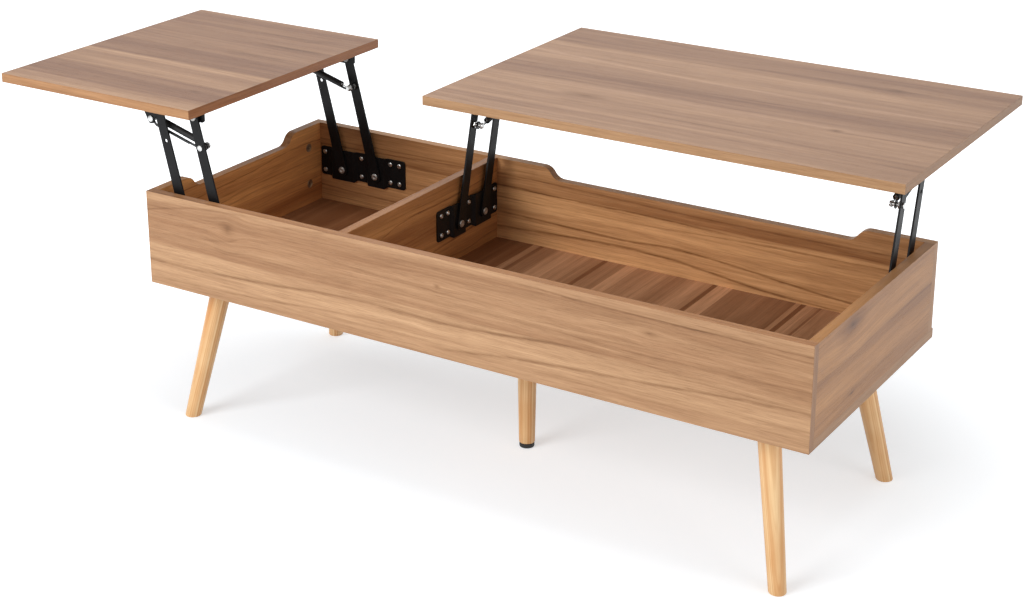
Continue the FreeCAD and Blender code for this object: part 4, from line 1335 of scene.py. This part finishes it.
@dataclass
class LegSet:
    """The splayed legs, the centre leg on its levelling foot and the plates' screws; sizes in millimetres."""

    finishes: Finishes
    plate_centres: tuple[Pair, ...] = ((-487.0, -157.0), (487.0, -157.0), (-487.0, 157.0), (487.0, 157.0),
                                       (0.0, 0.0))
    screw_offset: float = 23.0
    seat: float = 236.0
    screw: Fixing = Fixing(length=12.0)
    top_place: tuple[float, float, float] = (487.0, 157.0, 230.08)
    foot_place: tuple[float, float, float] = (530.0, 198.0, 0.0)
    top_radius: float = 17.2
    top_round: float = 0.8
    stations: Row = (0.004, 0.25, 0.5, 0.75, 0.92)
    foot_radius: float = 13.0
    foot_round: float = 1.6
    overrun: float = 1.2
    centre_span: Pair = (8.0, 233.0)
    pad_radius: float = 12.2
    pad_height: float = 7.6
    pad_round: float = 1.4
    stem: float = 4.0
    stem_rise: float = 26.0

    def build(self) -> None:
        """Make the legs, the levelling foot and the leg plates' screws."""
        for (row, sy), (hand, sx) in product((("front", -1), ("back", 1)), (("left", -1), ("right", 1))):
            mirrored = Matrix.Diagonal((sx, sy, 1))
            top, foot = mirrored @ Vector(self.top_place), mirrored @ Vector(self.foot_place)
            self.make_leg(f"{row}_{hand}", top, foot, turn=70.0 * sx + 25.0 * sy)
        low, high = self.centre_span
        self.make_leg("centre", UP * high, UP * low, turn=10.0)
        self.make_pad()
        self.make_screws()

    def make_leg(self, name: str, top: Vector, foot: Vector, turn: float) -> None:
        """Make one tapered leg, cut level at its foot.

        Args:
            name: Which leg.
            top: Middle of its top end.
            foot: Middle of its foot.
            turn: Turn of its grain about its axis in degrees.
        """
        shape = Shape(f"{name}_turned_leg")
        seat = seat_at(top, top - foot, turn)
        length = (top - foot).length
        narrowing = self.foot_radius - self.top_radius

        def level(angle: float, height: float, inset: float) -> Vector:
            """Point of the leg's surface on a level plane, moved in towards its middle."""
            start = seat @ polar(angle, self.top_radius)
            end = seat @ polar(angle, self.top_radius + narrowing * self.overrun, -length * self.overrun)
            place = start + (end - start) * ((start.z - height) / (start.z - end.z))
            middle = top + (foot - top) * ((top.z - height) / (top.z - foot.z))
            return place + (middle - place).normalized() * inset

        rings = [(self.top_radius - self.top_round, 0.0)]
        rings += [(self.top_radius + narrowing * share, -length * share) for share in self.stations]
        loops = shape.rounds(seat, rings)
        curve = self.foot_round * 0.3
        for height, inset in ((self.foot_round, 0.0), (curve, curve), (0.0, self.foot_round)):
            loops.append([shape.corner(level(angle, foot.z + height, inset))
                          for angle in circle(shape.sides)])
        shape.skin(loops)
        shape.finish(self.finishes, "table_frame", "light_wood", f"{name}_leg", origin=seat)

    def make_pad(self) -> None:
        """Make the levelling foot."""
        shape = Shape("levelling_pad")
        pad, edge, height = self.pad_radius, self.pad_round, self.pad_height
        curve = edge * 0.3
        shape.turned(seat_at(Vector(), UP), [
            (pad - edge, 0.0), (pad - curve, curve), (pad, edge), (pad, height - edge),
            (pad - curve, height - curve), (pad - edge, height), (self.stem, height),
            (self.stem, height + self.stem_rise)])
        shape.finish(self.finishes, "levelling_foot", "black_plastic", "levelling_foot")

    def make_screws(self) -> None:
        """Make the leg plates' screws."""
        shape = Shape("leg_plate_cross_screws")
        offsets = (-self.screw_offset, self.screw_offset)
        spots = product(self.plate_centres, offsets, offsets)
        seats = [(Vector((x + dx, y + dy, self.seat)), -UP) for (x, y), dx, dy in spots]
        self.screw.add_all(shape, seats, turn=43.0)
        shape.finish(self.finishes, "table_frame", "zinc_plate", "leg_plate_screws")


class Lamp(NamedTuple):
    """A rectangular soft light: its place, the point that it faces, its two sides and its power in watts."""

    name: str
    place: tuple[float, float, float]
    target: tuple[float, float, float]
    size: Pair
    power: float


@dataclass
class Studio:
    """White sweep, soft overhead light and the camera at the photograph's place."""

    floor_size: float = 60.0
    eye: Vector = field(default_factory=lambda: Vector((1.4789, -2.4261, 1.4360)))
    yaw: float = -0.5643
    pitch: float = 0.3357
    roll: float = -0.0020
    focal_share: float = 1959.8 / 1024
    shift: Pair = (0.0150, -0.12)
    sensor: float = 36.0
    near: float = 0.05
    far: float = 100.0
    sky: float = 0.44
    floor_tone: float = 0.93
    floor_haze: float = 0.004
    floor_tint: tuple[float, float, float] = (0.940, 1.000, 1.054)
    floor_glow: float = 0.50
    white_from: float = 0.6
    white_by: float = 1.45
    lamps: tuple[Lamp, ...] = (
        Lamp("key_soft_light", (-1.5, -3.4, 2.4), (0.0, 0.0, 0.35), (2.2, 1.8), 106.0),
        Lamp("right_fill_light", (3.8, -0.9, 1.6), (0.0, 0.0, 0.35), (2.0, 1.6), 27.0),
        Lamp("overhead_fill_light", (0.0, 0.4, 3.0), (0.0, 0.1, 0.3), (2.6, 2.0), 40.0),
    )

    def build(self) -> None:
        """Make the camera, the world, the floor and the lamps."""
        self.make_camera()
        self.make_world()
        self.make_floor()
        for lamp in self.lamps:
            self.make_lamp(lamp)
        bpy.context.scene.view_settings.view_transform = "Standard"

    def make_camera(self) -> None:
        """Place the camera from its eye point and its three turns."""
        data = bpy.data.cameras.new("studio_camera")
        data.sensor_fit = "HORIZONTAL"
        data.sensor_width = self.sensor
        data.lens = self.focal_share * self.sensor
        data.shift_x, data.shift_y = self.shift
        data.clip_start, data.clip_end = self.near, self.far
        camera = stand("studio_camera", data)
        sweep = math.cos(self.pitch)
        forward = Vector((math.sin(self.yaw) * sweep, math.cos(self.yaw) * sweep, -math.sin(self.pitch)))
        level = Vector((math.cos(self.yaw), -math.sin(self.yaw), 0.0))
        rise = level.cross(forward)
        right = level * math.cos(self.roll) + rise * math.sin(self.roll)
        top = rise * math.cos(self.roll) - level * math.sin(self.roll)
        turn = Matrix((right, top, -forward)).transposed()
        camera.matrix_world = Matrix.Translation(self.eye) @ turn.to_4x4()
        bpy.context.scene.camera = camera

    def make_world(self) -> None:
        """An even pale surround that the camera and reflections see as white."""
        world = bpy.data.worlds.new("studio_surround")
        world.use_nodes = True
        bpy.context.scene.world = world
        bench = NodeBench(world.node_tree)
        background = world.node_tree.nodes["Background"]
        bench.feed(background.inputs["Color"], WHITE)
        bench.feed(background.inputs["Strength"], bench.span(bench.seen(), 0.0, 1.0, self.sky))

    def make_floor(self) -> None:
        """A pale floor that takes the table's soft shadow and runs out to the horizon."""
        half = self.floor_size / 2
        mesh = bpy.data.meshes.new("studio_floor")
        corners = [(x * half, y * half, 0.0) for x, y in ((-1, -1), (1, -1), (1, 1), (-1, 1))]
        mesh.from_pydata(corners, [], [(0, 1, 2, 3)])
        bench = FinishBench("studio_floor")
        seen = bench.seen()
        haze = bench.noise(bench.place(), 0.8)
        tone = bench.span(haze, 0.3, 0.7, self.floor_tone - self.floor_haze, self.floor_tone)
        tone = tone - seen * (self.floor_glow * 0.5)
        x, y, _ = bench.split(bench.place())
        away = bench.span(bench.calc("SQRT", x * x + y * y), self.white_from, self.white_by) * seen
        glow = seen * self.floor_glow + away * (1.0 - self.floor_glow)
        tint = bench.vector(*(tone * part for part in self.floor_tint))
        mesh.materials.append(bench.finish(tint, 0.9, specular=0.0))
        bench.feed(bench.shader.inputs["Emission Color"], WHITE)
        bench.feed(bench.shader.inputs["Emission Strength"], glow)
        stand("studio_floor", mesh)

    def make_lamp(self, lamp: Lamp) -> None:
        """Hang a lamp.

        Args:
            lamp: The lamp.
        """
        data = bpy.data.lights.new(lamp.name, "AREA")
        data.shape = "RECTANGLE"
        data.size, data.size_y = lamp.size
        data.energy = lamp.power
        made = stand(lamp.name, data)
        made.location = lamp.place
        made.rotation_euler = (Vector(lamp.target) - Vector(lamp.place)).to_track_quat("-Z", "Y").to_euler()


def dress(node: str, material: Material) -> None:
    """Give a CAD node a finish in every slot.

    Args:
        node: Name of the node.
        material: The finish.
    """
    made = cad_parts[node]
    if not made.material_slots:
        made.data.materials.append(material)
    for slot in made.material_slots:
        slot.material = material
    LOG.info("%s dressed in %s", node, material.name)


def make_finishes() -> dict[str, Material]:
    """Make the finish of each material slot but the walnut ones.

    Returns:
        Slot name to material.
    """
    finishes = (
        PineLeg(),
        PineLeg("beech_dowel", light=paint(226, 196, 158), dark=paint(200, 162, 120)),
        CoatedSteel("black_steel"),
        CoatedSteel("black_screws", body=paint(30, 30, 32), rubbed=paint(150, 150, 150)),
        BlackRubber("black_plastic", roughness=0.45),
        BlackRubber("black_rubber"),
        PlatedSteel("zinc_cam", bright=paint(182, 154, 124), dull=paint(122, 98, 76), roughness=0.5),
        PlatedSteel("zinc_plate", dull=paint(128, 130, 134), roughness=0.38),
        PlatedSteel("rivet_steel", bright=paint(192, 190, 186), dull=paint(134, 132, 130), roughness=0.45),
        PlatedSteel("spring_steel", roughness=0.3),
        PlatedSteel("plated_steel", roughness=0.25),
    )
    return {finish.name: finish.build() for finish in finishes}


def main() -> None:
    """Build the studio and dress every part of the table."""
    logging.basicConfig(level=logging.INFO, format="%(message)s")
    Studio().build()
    finishes = make_finishes()
    for node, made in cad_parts.items():
        for slot in made.material_slots:
            kind = slot.material.name.split(".")[0] if slot.material else ""
            slot.material = finishes.get(kind, slot.material)
            LOG.info("%s dressed in %s", node, kind)
    right, ahead = Vector((1.0, 0.0, 0.0)), Vector((0.0, 1.0, 0.0))
    small_walls = (Wall("small_front", Vector((-562.0, -212.0, 0.0)), right, ahead),
                   Wall("small_back", Vector((-562.0, 212.0, 0.0)), right, -ahead))
    large_walls = (Wall("large_left", Vector((-190.0, 212.0, 0.0)), -ahead, right),
                   Wall("large_right", Vector((562.0, 212.0, 0.0)), -ahead, -right))
    small_lift = LiftMechanism("small", small_walls, finishes)
    Cabinet(small_walls + large_walls, small_lift, finishes).build()
    LegSet(finishes).build()
    small_lift.build()
    LiftMechanism("large", large_walls, finishes).build()


if __name__ == "__main__":
    main()
